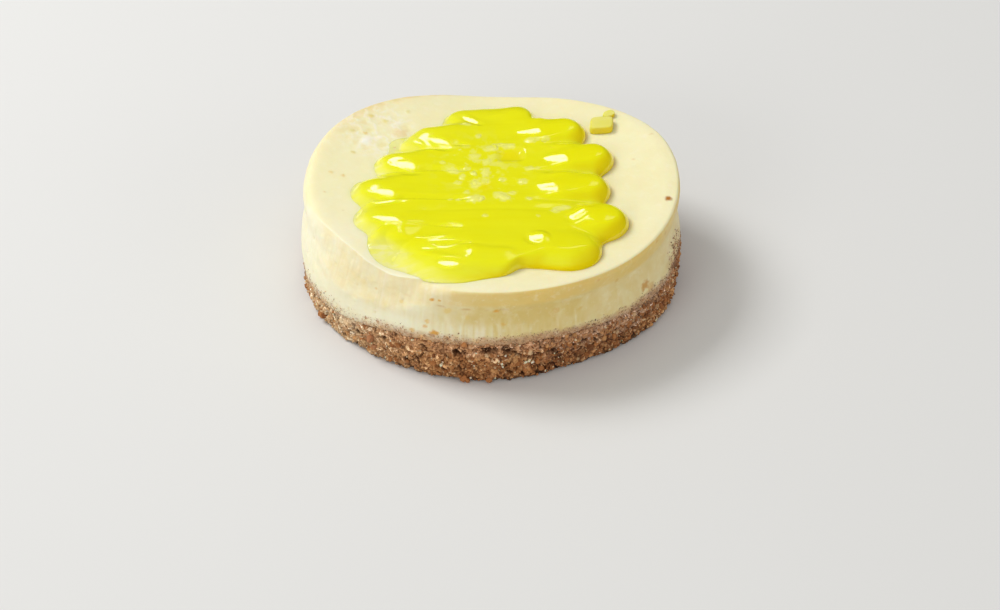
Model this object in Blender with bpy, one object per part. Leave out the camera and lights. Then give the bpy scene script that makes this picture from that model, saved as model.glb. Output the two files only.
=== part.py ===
"""Small round baked cheesecake: crumb base, set cheese filling, piped lemon gel.

Everything is in metres with +Z up. The origin is the middle of the flat underside.
Azimuth is measured in the plane of the cake from +X towards +Y, so the cake's front is at -90.
Working sizes below are in millimetres and are scaled when the meshes are made.
"""

import math

import bmesh
import bpy

MM = 0.001

# ---------------------------------------------------------------- driving sizes, in mm
OUTLINE_RADIUS = 39.5          # the cake's mean radius where it stands
RIM_RADIUS = 39.3              # mean radius of the puffed rim
RIM_HEIGHT = 21.9              # mean height of the rim
CENTRE_HEIGHT = 20.7           # the baked top sinks a little in the middle
CRUMB_HEIGHT = 8.5             # mean thickness of the crumb base where it shows
CRUMB_CENTRE = 8.2             # the same under the middle
EDGE_WIDTH = 2.6               # the rim's rounding, inwards
EDGE_DEPTH = 3.0               # the rim's rounding, downwards
WAIST = 0.75                   # the wall pulls in this much below the rim
WAIST_HEIGHT = 16.9
WAIST_SPREAD = 2.7
BELLY = 0.45                   # and swells a little lower down
BELLY_HEIGHT = 9.0
BELLY_SPREAD = 3.6
FOOT_ROUND = 0.5               # worn lower corner of the crumb base
GAP = 0.3                      # clear space between pieces that rest on each other

# Each unevenness is (azimuth, half width in degrees, size in mm).
FOOT_DENTS = ((-122.0, 20.0, -0.7), (-60.0, 17.0, -1.7), (90.0, 42.0, -1.6))
RIM_DENTS = ((26.0, 16.0, 0.5), (148.0, 18.0, 0.8), (90.0, 34.0, -1.9), (-90.0, 36.0, -0.4),
             (-126.0, 11.0, -1.0), (-48.0, 16.0, -0.4))
RIM_RISES = ((143.0, 36.0, 2.0), (20.0, 27.0, 1.7), (90.0, 20.0, -1.7), (-124.0, 11.0, -1.7),
             (-45.0, 16.0, -0.7))
CRUMB_RISES = ((-172.0, 24.0, -3.6), (-88.0, 34.0, 1.3), (-12.0, 9.0, 1.6), (70.0, 40.0, -0.6))

# Piped rows of gel: left end and right end, each (x, y, half width, height), then how much
# wider the row runs half way along, where it flows into its neighbours.
GEL_ROWS = (
    ((-5.8, 23.4, 4.8, 2.6), (4.4, 25.2, 5.3, 3.3), 1.0),
    ((-12.3, 15.8, 4.9, 3.0), (15.0, 18.2, 5.6, 3.6), 1.3),
    ((-18.6, 13.6, 3.4, 0.9), (-12.0, 13.0, 3.6, 1.6), 0.0),
    ((-20.2, 6.3, 4.7, 3.1), (20.7, 8.0, 5.6, 3.7), 1.3),
    ((-24.2, -3.4, 5.3, 3.1), (19.8, -2.8, 5.5, 3.6), 1.3),
    ((-23.6, -13.0, 4.9, 2.9), (22.4, -14.3, 6.3, 3.9), 1.3),
    ((-18.4, -21.0, 6.7, 1.6), (15.0, -23.4, 6.9, 3.8), -1.6),
    ((-7.5, -28.4, 6.2, 3.0), (-1.0, -26.8, 4.9, 3.0), 0.0),
)
GEL_MIDDLE = (-1.0, -2.5)      # the point its outline is swept about
GEL_SINK = 0.5                 # rows stand this much lower half way along
GEL_BLEND = 1.3                # rounding where two rows meet
GEL_SOFT_X = (-27.0, -8.0)     # its left ends feather out, the others have steep sides

# Two stray bits of gel: (x, y, half length, half width, height, squareness, turn in degrees).
STRAY_DICE = (23.6, 20.4, 2.5, 2.2, 1.9, 4.0, -4.0)
STRAY_CRUMB = (25.3, 24.3, 1.3, 1.1, 0.9, 2.3, 20.0)

AROUND = 72                    # facets round the cake
GEL_AROUND = 116               # facets round the gel


# ---------------------------------------------------------------- shape of the cake
def bell(azimuth, at, half):
    """1 at one azimuth, falling to a half at `half` degrees to either side."""
    away = (azimuth - at + 180.0) % 360.0 - 180.0
    return math.exp(-math.log(2.0) * (away / half) ** 2)


def uneven(azimuth, features):
    return sum(size * bell(azimuth, at, half) for at, half, size in features)


def smooth(t):
    t = min(max(t, 0.0), 1.0)
    return t * t * (3.0 - 2.0 * t)


def rim_height(azimuth):
    return RIM_HEIGHT + uneven(azimuth, RIM_RISES)


def rim_radius(azimuth):
    return RIM_RADIUS + uneven(azimuth, RIM_DENTS)


def crumb_edge(azimuth):
    return CRUMB_HEIGHT + uneven(azimuth, CRUMB_RISES)


def wall_radius(azimuth, z):
    """Outer radius of the side at one height, below the rim's rounding."""
    foot = OUTLINE_RADIUS + uneven(azimuth, FOOT_DENTS)
    r = foot + (rim_radius(azimuth) - foot) * smooth(z / rim_height(azimuth))
    r -= WAIST * math.exp(-((z - WAIST_HEIGHT) / WAIST_SPREAD) ** 2)
    r += BELLY * math.exp(-((z - BELLY_HEIGHT) / BELLY_SPREAD) ** 2)
    return r


def layer_height(azimuth, r):
    """Height of the joint between crumb and filling."""
    share = min(r / wall_radius(azimuth, crumb_edge(azimuth)), 1.0)
    return CRUMB_CENTRE + (crumb_edge(azimuth) - CRUMB_CENTRE) * share ** 2


def top_height(x, y):
    """Height of the baked top, with the rim's rounding."""
    azimuth = math.degrees(math.atan2(y, x))
    flat = rim_radius(azimuth) - EDGE_WIDTH
    r = math.hypot(x, y)
    z = CENTRE_HEIGHT + (rim_height(azimuth) - CENTRE_HEIGHT) * min(r / flat, 1.0) ** 2.6
    over = min(max(r - flat, 0.0) / EDGE_WIDTH, 1.0)
    return z - EDGE_DEPTH * (1.0 - math.sqrt(1.0 - over * over))


# ---------------------------------------------------------------- shape of the gel
def gel_field(x, y):
    """(depth inside the outline, crest height, half width) of the piped rows at one point."""
    parts = []
    for (ax, ay, aw, ah), (bx, by, bw, bh), spread in GEL_ROWS:
        dx, dy = bx - ax, by - ay
        u = min(max(((x - ax) * dx + (y - ay) * dy) / (dx * dx + dy * dy), 0.0), 1.0)
        middle = 4.0 * u * (1.0 - u)
        half = aw + (bw - aw) * u + spread * middle
        away = math.hypot(x - ax - dx * u, y - ay - dy * u)
        parts.append((half - away, ah + (bh - ah) * u - GEL_SINK * middle, half))
    best = max(p[0] for p in parts)
    weights = [math.exp((p[0] - best) / GEL_BLEND) for p in parts]
    total = sum(weights)
    depth = best + GEL_BLEND * math.log(total) - GEL_BLEND * math.log(1.35)
    crest = sum(w * p[1] for w, p in zip(weights, parts)) / total
    half = sum(w * p[2] for w, p in zip(weights, parts)) / total
    return depth, crest, half


def gel_thickness(x, y):
    depth, crest, half = gel_field(x, y)
    if depth <= 0.0:
        return 0.0
    share = min(depth / half, 1.0)
    low, high = GEL_SOFT_X
    power = 0.5 + 0.4 * (1.0 - smooth((x - low) / (high - low)))
    return crest * (1.0 - (1.0 - share) ** 2) ** power


def gel_reach(angle):
    """Distance from the gel's middle to its outline in one direction."""
    cx, cy = GEL_MIDDLE
    ux, uy = math.cos(angle), math.sin(angle)
    outer = 40.0
    while gel_field(cx + ux * outer, cy + uy * outer)[0] < 0.0:
        outer -= 0.2
    inner, outer = outer, outer + 0.2
    for _ in range(12):
        half = (inner + outer) / 2.0
        if gel_field(cx + ux * half, cy + uy * half)[0] < 0.0:
            outer = half
        else:
            inner = half
    return inner


# ---------------------------------------------------------------- meshes
def closed_loft(name, first, rings, last, material):
    """A closed solid from its lowest point, through rings of points, to its top point."""
    bm = bmesh.new()
    low = bm.verts.new([v * MM for v in first])
    high = bm.verts.new([v * MM for v in last])
    loops = [[bm.verts.new([v * MM for v in p]) for p in ring] for ring in rings]
    count = len(loops[0])
    for j in range(count):
        k = (j + 1) % count
        bm.faces.new((low, loops[0][k], loops[0][j]))
        for a, b in zip(loops, loops[1:]):
            bm.faces.new((a[j], a[k], b[k], b[j]))
        bm.faces.new((high, loops[-1][j], loops[-1][k]))
    bmesh.ops.recalc_face_normals(bm, faces=bm.faces)
    mesh = bpy.data.meshes.new(name)
    bm.to_mesh(mesh)
    bm.free()
    mesh.shade_smooth()
    mesh.set_sharp_from_angle(angle=math.radians(50.0))
    mesh.materials.append(material)
    obj = bpy.data.objects.new(name, mesh)
    bpy.context.scene.collection.objects.link(obj)
    return obj


def finish(name, colour, roughness):
    material = bpy.data.materials.new(name)
    material.use_nodes = True
    shader = material.node_tree.nodes["Principled BSDF"]
    shader.inputs["Base Color"].default_value = (*colour, 1.0)
    shader.inputs["Roughness"].default_value = roughness
    shader.inputs["Metallic"].default_value = 0.0
    return material


def around(point, count=AROUND):
    """A ring of points from a function of azimuth, in degrees, that gives (radius, height)."""
    ring = []
    for j in range(count):
        azimuth = 360.0 * j / count - 180.0
        r, z = point(azimuth)
        a = math.radians(azimuth)
        ring.append((r * math.cos(a), r * math.sin(a), z))
    return ring


def crumb_base(material):
    rings = [around(lambda a, s=s: ((wall_radius(a, 0.0) - FOOT_ROUND) * s, 0.0)) for s in (0.5, 1.0)]
    rings.append(around(lambda a: (wall_radius(a, 0.0), FOOT_ROUND)))
    for share in (0.35, 0.68, 1.0):
        def side(a, share=share):
            z = FOOT_ROUND + (crumb_edge(a) - GAP / 2 - FOOT_ROUND) * share
            return wall_radius(a, z), z
        rings.append(around(side))
    for share in (0.9, 0.72, 0.4):
        def inside(a, share=share):
            r = wall_radius(a, crumb_edge(a)) * share
            return r, layer_height(a, r) - GAP / 2
        rings.append(around(inside))
    return closed_loft("crumb_base", (0, 0, 0), rings, (0, 0, CRUMB_CENTRE - GAP / 2), material)


def filling(material):
    rings = []
    for share in (0.4, 0.72, 0.9):
        def under(a, share=share):
            r = wall_radius(a, crumb_edge(a)) * share
            return r, layer_height(a, r) + GAP / 2
        rings.append(around(under))
    for share in (0.0, 0.2, 0.4, 0.58, 0.74, 0.88, 1.0):
        def side(a, share=share):
            low, high = crumb_edge(a) + GAP / 2, rim_height(a) - EDGE_DEPTH
            z = low + (high - low) * share
            return wall_radius(a, z), z
        rings.append(around(side))
    for turn in (24.0, 46.0, 68.0, 90.0):
        def edge(a, turn=math.radians(turn)):
            r = wall_radius(a, rim_height(a) - EDGE_DEPTH) - EDGE_WIDTH * (1.0 - math.cos(turn))
            return r, rim_height(a) - EDGE_DEPTH * (1.0 - math.sin(turn))
        rings.append(around(edge))
    for share in (0.93, 0.84, 0.72, 0.56, 0.36, 0.16):
        def top(a, share=share):
            r = (rim_radius(a) - EDGE_WIDTH) * share
            b = math.radians(a)
            return r, top_height(r * math.cos(b), r * math.sin(b))
        rings.append(around(top))
    middle = layer_height(0.0, 0.0) + GAP / 2
    return closed_loft("filling", (0, 0, middle), rings, (0, 0, CENTRE_HEIGHT), material)


def lemon_gel(material):
    cx, cy = GEL_MIDDLE
    reaches = []
    for j in range(GEL_AROUND):
        angle = 2.0 * math.pi * j / GEL_AROUND
        reaches.append((math.cos(angle), math.sin(angle), gel_reach(angle)))

    def ring(share, lift):
        points = []
        for ux, uy, reach in reaches:
            x, y = cx + ux * reach * share, cy + uy * reach * share
            points.append((x, y, top_height(x, y) + GAP + lift(x, y)))
        return points

    rings = [ring(share, lambda x, y: 0.0) for share in (0.3, 0.6, 0.85)]
    rings.append(ring(1.0, lambda x, y: 0.05))
    rings += [ring(share, gel_thickness) for share in (0.988, 0.96, 0.92, 0.87, 0.8, 0.71, 0.6, 0.48, 0.36, 0.24, 0.12)]
    floor = top_height(cx, cy) + GAP
    return closed_loft("lemon_gel", (cx, cy, floor), rings, (cx, cy, floor + gel_thickness(cx, cy)), material)


def stray(name, sizes, material, count):
    """A small cushion of gel with a square or round outline, resting on the baked top."""
    x, y, length, width, height, square, turn = sizes
    turn = math.radians(turn)

    def ring(share, rise):
        points = []
        for j in range(count):
            a = 2.0 * math.pi * (j + 0.5) / count
            c, s = math.cos(a), math.sin(a)
            reach = (abs(c) ** square + abs(s) ** square) ** (-1.0 / square) * share
            u, v = length * c * reach, width * s * reach
            px = x + u * math.cos(turn) - v * math.sin(turn)
            py = y + u * math.sin(turn) + v * math.cos(turn)
            points.append((px, py, top_height(px, py) + GAP + height * rise))
        return points

    rings = [ring(0.55, 0.0), ring(0.93, 0.0), ring(1.0, 0.2), ring(0.97, 0.62), ring(0.86, 0.88), ring(0.6, 0.98)]
    floor = top_height(x, y) + GAP
    return closed_loft(name, (x, y, floor), rings, (x, y, floor + height), material)


# ---------------------------------------------------------------- the cake
for old in list(bpy.data.objects):
    bpy.data.objects.remove(old, do_unlink=True)

crumb_base(finish("biscuit_crumb", (0.27, 0.13, 0.055), 0.85))
filling(finish("baked_cheese", (0.90, 0.83, 0.52), 0.5))
gel = finish("lemon_gel", (0.80, 0.75, 0.03), 0.12)
lemon_gel(gel)
stray("stray_gel_dice", STRAY_DICE, gel, 20)
stray("stray_gel_bit", STRAY_CRUMB, gel, 14)
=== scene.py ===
"""Looks of the small baked cheesecake: cream filling, crumb base, lemon gel and its loose bits.

Positions are worked out in millimetres with the same sizes and functions as the CAD script,
then written to the meshes in metres. Azimuth runs from +X towards +Y; the front is at -90.
"""

import math

import bpy
import numpy as np
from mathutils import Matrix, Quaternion, Vector


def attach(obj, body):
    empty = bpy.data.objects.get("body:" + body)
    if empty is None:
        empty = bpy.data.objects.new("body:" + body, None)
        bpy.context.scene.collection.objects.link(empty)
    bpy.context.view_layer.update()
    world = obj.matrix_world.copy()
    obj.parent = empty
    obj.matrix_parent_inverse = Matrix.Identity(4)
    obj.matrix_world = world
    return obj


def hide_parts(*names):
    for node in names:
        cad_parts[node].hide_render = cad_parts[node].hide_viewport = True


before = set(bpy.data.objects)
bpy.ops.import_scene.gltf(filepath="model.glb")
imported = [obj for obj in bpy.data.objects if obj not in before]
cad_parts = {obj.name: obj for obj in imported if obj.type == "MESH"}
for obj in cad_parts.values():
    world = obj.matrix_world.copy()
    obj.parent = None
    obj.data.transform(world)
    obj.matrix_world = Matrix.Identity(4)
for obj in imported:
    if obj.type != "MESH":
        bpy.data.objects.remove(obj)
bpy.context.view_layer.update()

MM = 0.001

# ---------------------------------------------------------------- sizes shared with the CAD, in mm
OUTLINE_RADIUS = 39.5
RIM_RADIUS = 39.3
RIM_HEIGHT = 21.9
CENTRE_HEIGHT = 20.7
CRUMB_HEIGHT = 8.5
EDGE_WIDTH = 2.6
EDGE_DEPTH = 3.0
WAIST, WAIST_HEIGHT, WAIST_SPREAD = 0.75, 16.9, 2.7
BELLY, BELLY_HEIGHT, BELLY_SPREAD = 0.45, 9.0, 3.6

FOOT_DENTS = ((-122.0, 20.0, -0.7), (-60.0, 17.0, -1.7), (90.0, 42.0, -1.6))
RIM_DENTS = ((26.0, 16.0, 0.5), (148.0, 18.0, 0.8), (90.0, 34.0, -1.9), (-90.0, 36.0, -0.4),
             (-126.0, 11.0, -1.0), (-48.0, 16.0, -0.4))
RIM_RISES = ((143.0, 36.0, 2.0), (20.0, 27.0, 1.7), (90.0, 20.0, -1.7), (-124.0, 11.0, -1.7),
             (-45.0, 16.0, -0.7))
CRUMB_RISES = ((-172.0, 24.0, -3.6), (-88.0, 34.0, 1.3), (-12.0, 9.0, 1.6), (70.0, 40.0, -0.6))

GEL_ROWS = (
    ((-5.8, 23.4, 4.8, 2.6), (4.4, 25.2, 5.3, 3.3), 1.0),
    ((-12.3, 15.8, 4.9, 3.0), (15.0, 18.2, 5.6, 3.6), 1.3),
    ((-18.6, 13.6, 3.4, 0.9), (-12.0, 13.0, 3.6, 1.6), 0.0),
    ((-20.2, 6.3, 4.7, 3.1), (20.7, 8.0, 5.6, 3.7), 1.3),
    ((-24.2, -3.4, 5.3, 3.1), (19.8, -2.8, 5.5, 3.6), 1.3),
    ((-23.6, -13.0, 4.9, 2.9), (22.4, -14.3, 6.3, 3.9), 1.3),
    ((-18.4, -21.0, 6.7, 1.6), (15.0, -23.4, 6.9, 3.8), -1.6),
    ((-7.5, -28.4, 6.2, 3.0), (-1.0, -26.8, 4.9, 3.0), 0.0),
)
GEL_MIDDLE = (-1.0, -2.5)
GEL_SINK = 0.5
GEL_BLEND = 1.3
GEL_SOFT_X = (-27.0, -8.0)

STRAY_DICE = (23.6, 20.4, 2.5, 2.2, 1.6, 5.0, -4.0)
STRAY_CRUMB = (25.3, 24.3, 1.3, 1.1, 0.9, 2.3, 20.0)

# ---------------------------------------------------------------- noise on arrays of points
_rng = np.random.default_rng(20)
_PERM = np.concatenate([_rng.permutation(256)] * 3)
_GRAD = _rng.normal(size=(256, 3))
_GRAD /= np.linalg.norm(_GRAD, axis=1)[:, None]
_SPOT = _rng.random((256, 3))
_VALUE = _rng.random(256)


def _corner(i, j, k):
    return _PERM[_PERM[_PERM[i & 255] + (j & 255)] + (k & 255)]


def perlin(p):
    """Smooth noise, about -0.7 to 0.7, of an (N, 3) array of points."""
    cell = np.floor(p).astype(int)
    f = p - cell
    w = f * f * f * (f * (f * 6.0 - 15.0) + 10.0)
    total = np.zeros(len(p))
    for a in (0, 1):
        for b in (0, 1):
            for c in (0, 1):
                g = _GRAD[_corner(cell[:, 0] + a, cell[:, 1] + b, cell[:, 2] + c)]
                d = (g * (f - (a, b, c))).sum(axis=1)
                total += d * (w[:, 0] if a else 1 - w[:, 0]) * (w[:, 1] if b else 1 - w[:, 1]) * (w[:, 2] if c else 1 - w[:, 2])
    return total


def fractal(p, octaves=3, gain=0.5):
    total, size = np.zeros(len(p)), 1.0
    for n in range(octaves):
        total += size * perlin(p * 2.0 ** n + 17.3 * n)
        size *= gain
    return total


def cells(p):
    """(distance to the nearest scattered spot, to the second nearest, value of the nearest)."""
    base = np.floor(p).astype(int)
    first = np.full(len(p), 9.0)
    second = np.full(len(p), 9.0)
    value = np.zeros(len(p))
    for a in (-1, 0, 1):
        for b in (-1, 0, 1):
            for c in (-1, 0, 1):
                n = base + (a, b, c)
                h = _corner(n[:, 0], n[:, 1], n[:, 2])
                d = np.linalg.norm(n + _SPOT[h] - p, axis=1)
                near = d < first
                second = np.where(near, first, np.minimum(second, d))
                value = np.where(near, _VALUE[h], value)
                first = np.where(near, d, first)
    return first, second, value


def smooth(t):
    t = np.clip(t, 0.0, 1.0)
    return t * t * (3.0 - 2.0 * t)


def mix(a, b, t):
    return a + (b - a) * t


def tone(a, b, t):
    """Mixes two colours, either one colour or an (N, 3) array each, by an array."""
    return np.asarray(a) * (1.0 - t[:, None]) + np.asarray(b) * t[:, None]


# ---------------------------------------------------------------- shape of the cake
def bell(azimuth, at, half):
    away = (azimuth - at + 180.0) % 360.0 - 180.0
    return np.exp(-math.log(2.0) * (away / half) ** 2)


def uneven(azimuth, features):
    return sum(size * bell(azimuth, at, half) for at, half, size in features)


def rim_height(azimuth):
    return RIM_HEIGHT + uneven(azimuth, RIM_RISES)


def rim_radius(azimuth):
    return RIM_RADIUS + uneven(azimuth, RIM_DENTS)


def crumb_edge(azimuth):
    return CRUMB_HEIGHT + uneven(azimuth, CRUMB_RISES)


def wall_radius(azimuth, z):
    foot = OUTLINE_RADIUS + uneven(azimuth, FOOT_DENTS)
    r = foot + (rim_radius(azimuth) - foot) * smooth(z / rim_height(azimuth))
    r = r - WAIST * np.exp(-((z - WAIST_HEIGHT) / WAIST_SPREAD) ** 2)
    return r + BELLY * np.exp(-((z - BELLY_HEIGHT) / BELLY_SPREAD) ** 2)


def top_height(x, y):
    azimuth = np.degrees(np.arctan2(y, x))
    flat = rim_radius(azimuth) - EDGE_WIDTH
    r = np.hypot(x, y)
    z = CENTRE_HEIGHT + (rim_height(azimuth) - CENTRE_HEIGHT) * np.minimum(r / flat, 1.0) ** 2.6
    over = np.clip((r - flat) / EDGE_WIDTH, 0.0, 1.0)
    return z - EDGE_DEPTH * (1.0 - np.sqrt(1.0 - over * over))


FRONT_FLOW = (((-17.0, -23.2, 5.6, 0.8), (-10.5, -28.0, 5.6, 1.6), 0.0), ((-5.0, -28.6, 6.2, 2.6), (0.3, -28.2, 5.2, 2.6), 0.0), ((9.2, -24.6, 5.2, 2.8), (15.5, -24.0, 6.5, 3.0), 0.0))


def gel_field(x, y):
    parts = []
    for (ax, ay, aw, ah), (bx, by, bw, bh), spread in GEL_ROWS + FRONT_FLOW:
        dx, dy = bx - ax, by - ay
        u = np.clip(((x - ax) * dx + (y - ay) * dy) / (dx * dx + dy * dy), 0.0, 1.0)
        middle = 4.0 * u * (1.0 - u)
        half = aw + (bw - aw) * u + spread * middle
        away = np.hypot(x - ax - dx * u, y - ay - dy * u)
        parts.append((half - away, ah + (bh - ah) * u - GEL_SINK * middle, half))
    depth, crest, half = (np.stack([p[n] for p in parts]) for n in range(3))
    best = depth.max(axis=0)
    weights = np.exp((depth - best) / GEL_BLEND)
    total = weights.sum(axis=0)
    inside = best + GEL_BLEND * np.log(total) - GEL_BLEND * math.log(1.35)
    return inside, (weights * crest).sum(axis=0) / total, (weights * half).sum(axis=0) / total


def gel_thickness(x, y):
    depth, crest, half = gel_field(x, y)
    share = np.clip(depth / half, 0.0, 1.0)
    low, high = GEL_SOFT_X
    power = 0.5 + 0.4 * (1.0 - smooth((x - low) / (high - low)))
    return np.where(depth > 0.0, crest * (1.0 - (1.0 - share) ** 2) ** power, 0.0)


def gel_reach(angle):
    cx, cy = GEL_MIDDLE
    ux, uy = np.cos(angle), np.sin(angle)
    outer = np.full(len(angle), 40.0)
    for _ in range(190):
        out = gel_field(cx + ux * outer, cy + uy * outer)[0] < 0.0
        outer = np.where(out, outer - 0.2, outer)
    inner, outer = outer, outer + 0.2
    for _ in range(12):
        half = (inner + outer) / 2.0
        out = gel_field(cx + ux * half, cy + uy * half)[0] < 0.0
        inner, outer = np.where(out, inner, half), np.where(out, half, outer)
    return inner


# ---------------------------------------------------------------- mesh helpers
def new_object(name, verts, faces, material, replaces=(), attributes=None, flat=False):
    """A mesh piece from points in mm. Attributes are arrays with a value or a colour per point."""
    mesh = bpy.data.meshes.new(name)
    mesh.from_pydata((np.asarray(verts) * MM).tolist(), [], faces if isinstance(faces, list) else faces.tolist())
    for key, values in (attributes or {}).items():
        values = np.asarray(values, dtype=np.float32)
        if values.ndim == 2:
            layer = mesh.attributes.new(key, "FLOAT_COLOR", "POINT")
            full = np.ones((len(values), 4), dtype=np.float32)
            full[:, :3] = np.clip(values, 0.0, 1.0)
            layer.data.foreach_set("color", full.ravel())
        else:
            layer = mesh.attributes.new(key, "FLOAT", "POINT")
            layer.data.foreach_set("value", values)
    mesh.validate()
    if not flat:
        mesh.shade_smooth()
    mesh.materials.append(material)
    obj = bpy.data.objects.new(name, mesh)
    bpy.context.scene.collection.objects.link(obj)
    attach(obj, "root")
    if replaces:
        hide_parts(*replaces)
    return obj


def loft_faces(rings, around):
    """Triangles and quads of a closed loft: point 0 low, point 1 high, then the rings in order."""
    j = np.arange(around)
    k = (j + 1) % around
    low = [(0, 2 + b, 2 + a) for a, b in zip(j.tolist(), k.tolist())]
    last = 2 + (rings - 1) * around
    high = [(1, last + a, last + b) for a, b in zip(j.tolist(), k.tolist())]
    sides = []
    for n in range(rings - 1):
        s, t = 2 + n * around, 2 + (n + 1) * around
        sides.append(np.stack([s + j, s + k, t + k, t + j], axis=1))
    return low + np.concatenate(sides).tolist() + high


def ring_normals(grid):
    """Outward unit normals of a (rings, around, 3) grid that closes on itself around."""
    along = np.roll(grid, -1, axis=1) - np.roll(grid, 1, axis=1)
    up = np.empty_like(grid)
    up[1:-1] = grid[2:] - grid[:-2]
    up[0], up[-1] = grid[1] - grid[0], grid[-1] - grid[-2]
    n = np.cross(along, up)
    return n / np.maximum(np.linalg.norm(n, axis=2, keepdims=True), 1e-9)


def icosphere(steps):
    """Points and triangles of a unit icosphere."""
    g = (1 + 5 ** 0.5) / 2
    pts = [(-1, g, 0), (1, g, 0), (-1, -g, 0), (1, -g, 0), (0, -1, g), (0, 1, g),
           (0, -1, -g), (0, 1, -g), (g, 0, -1), (g, 0, 1), (-g, 0, -1), (-g, 0, 1)]
    tris = [(0, 11, 5), (0, 5, 1), (0, 1, 7), (0, 7, 10), (0, 10, 11), (1, 5, 9), (5, 11, 4),
            (11, 10, 2), (10, 7, 6), (7, 1, 8), (3, 9, 4), (3, 4, 2), (3, 2, 6), (3, 6, 8),
            (3, 8, 9), (4, 9, 5), (2, 4, 11), (6, 2, 10), (8, 6, 7), (9, 8, 1)]
    pts = [tuple(c / math.sqrt(sum(v * v for v in p)) for c in p) for p in pts]
    for _ in range(steps):
        cut, made = {}, []

        def half(a, b):
            key = (min(a, b), max(a, b))
            if key not in cut:
                m = [(u + v) / 2 for u, v in zip(pts[a], pts[b])]
                size = math.sqrt(sum(v * v for v in m))
                pts.append(tuple(v / size for v in m))
                cut[key] = len(pts) - 1
            return cut[key]

        for a, b, c in tris:
            ab, bc, ca = half(a, b), half(b, c), half(c, a)
            made += [(a, ab, ca), (b, bc, ab), (c, ca, bc), (ab, bc, ca)]
        tris = made
    return np.array(pts), np.array(tris)


def rotations(rng, count):
    """Random rotation matrices."""
    q = rng.normal(size=(count, 4))
    q /= np.linalg.norm(q, axis=1)[:, None]
    w, x, y, z = q.T
    return np.stack([1 - 2 * (y * y + z * z), 2 * (x * y - z * w), 2 * (x * z + y * w),
                     2 * (x * y + z * w), 1 - 2 * (x * x + z * z), 2 * (y * z - x * w),
                     2 * (x * z - y * w), 2 * (y * z + x * w), 1 - 2 * (x * x + y * y)], axis=1).reshape(-1, 3, 3)


# ---------------------------------------------------------------- material helpers
def link(tree, a, b):
    tree.links.new(a, b)


class Graph:
    """A small helper that adds nodes to a material and joins them."""

    def __init__(self, name):
        self.material = bpy.data.materials.new(name)
        self.material.use_nodes = True
        self.tree = self.material.node_tree
        self.shader = self.tree.nodes["Principled BSDF"]
        self.place = self.node("ShaderNodeTexCoord").outputs["Object"]

    def node(self, kind, **settings):
        n = self.tree.nodes.new(kind)
        for key, value in settings.items():
            setattr(n, key, value)
        return n

    def put(self, socket, value):
        if isinstance(value, bpy.types.NodeSocket):
            self.tree.links.new(value, socket)
        else:
            socket.default_value = value

    def attribute(self, name, output="Fac"):
        return self.node("ShaderNodeAttribute", attribute_name=name).outputs[output]

    def stretch(self, scale):
        n = self.node("ShaderNodeMapping")
        self.put(n.inputs["Vector"], self.place)
        n.inputs["Scale"].default_value = scale
        return n.outputs["Vector"]

    def noise(self, scale, detail=2.0, rough=0.5, where=None, distortion=0.0):
        n = self.node("ShaderNodeTexNoise")
        self.put(n.inputs["Vector"], self.place if where is None else where)
        n.inputs["Scale"].default_value = scale
        n.inputs["Detail"].default_value = detail
        n.inputs["Roughness"].default_value = rough
        n.inputs["Distortion"].default_value = distortion
        return n.outputs["Fac"]

    def cells(self, scale, feature="F1", where=None, random=1.0):
        n = self.node("ShaderNodeTexVoronoi", feature=feature)
        self.put(n.inputs["Vector"], self.place if where is None else where)
        n.inputs["Scale"].default_value = scale
        n.inputs["Randomness"].default_value = random
        return n

    def maths(self, kind, a, b=0.0, clamp=False):
        n = self.node("ShaderNodeMath", operation=kind, use_clamp=clamp)
        self.put(n.inputs[0], a)
        self.put(n.inputs[1], b)
        return n.outputs[0]

    def ranged(self, value, low, high, to_low=0.0, to_high=1.0, kind="LINEAR"):
        n = self.node("ShaderNodeMapRange", interpolation_type=kind)
        self.put(n.inputs["Value"], value)
        self.put(n.inputs["From Min"], low)
        self.put(n.inputs["From Max"], high)
        self.put(n.inputs["To Min"], to_low)
        self.put(n.inputs["To Max"], to_high)
        return n.outputs["Result"]

    def blend(self, kind, share, a, b):
        n = self.node("ShaderNodeMix", data_type="RGBA", blend_type=kind)
        self.put(n.inputs[0], share)
        self.put(n.inputs[6], a)
        self.put(n.inputs[7], b)
        return n.outputs[2]

    def ramp(self, value, stops, interpolation="LINEAR"):
        n = self.node("ShaderNodeValToRGB")
        self.put(n.inputs["Fac"], value)
        ramp = n.color_ramp
        ramp.interpolation = interpolation
        while len(ramp.elements) < len(stops):
            ramp.elements.new(0.5)
        for e, (at, colour) in zip(ramp.elements, stops):
            e.position = at
            e.color = (*colour, 1.0)
        return n.outputs["Color"]

    def bump(self, height, distance, strength=1.0, below=None):
        n = self.node("ShaderNodeBump")
        self.put(n.inputs["Height"], height)
        n.inputs["Distance"].default_value = distance
        n.inputs["Strength"].default_value = strength
        if below is not None:
            self.tree.links.new(below, n.inputs["Normal"])
        return n.outputs["Normal"]

    def set(self, **values):
        for key, value in values.items():
            self.put(self.shader.inputs[key.replace("_", " ")], value)


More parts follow.
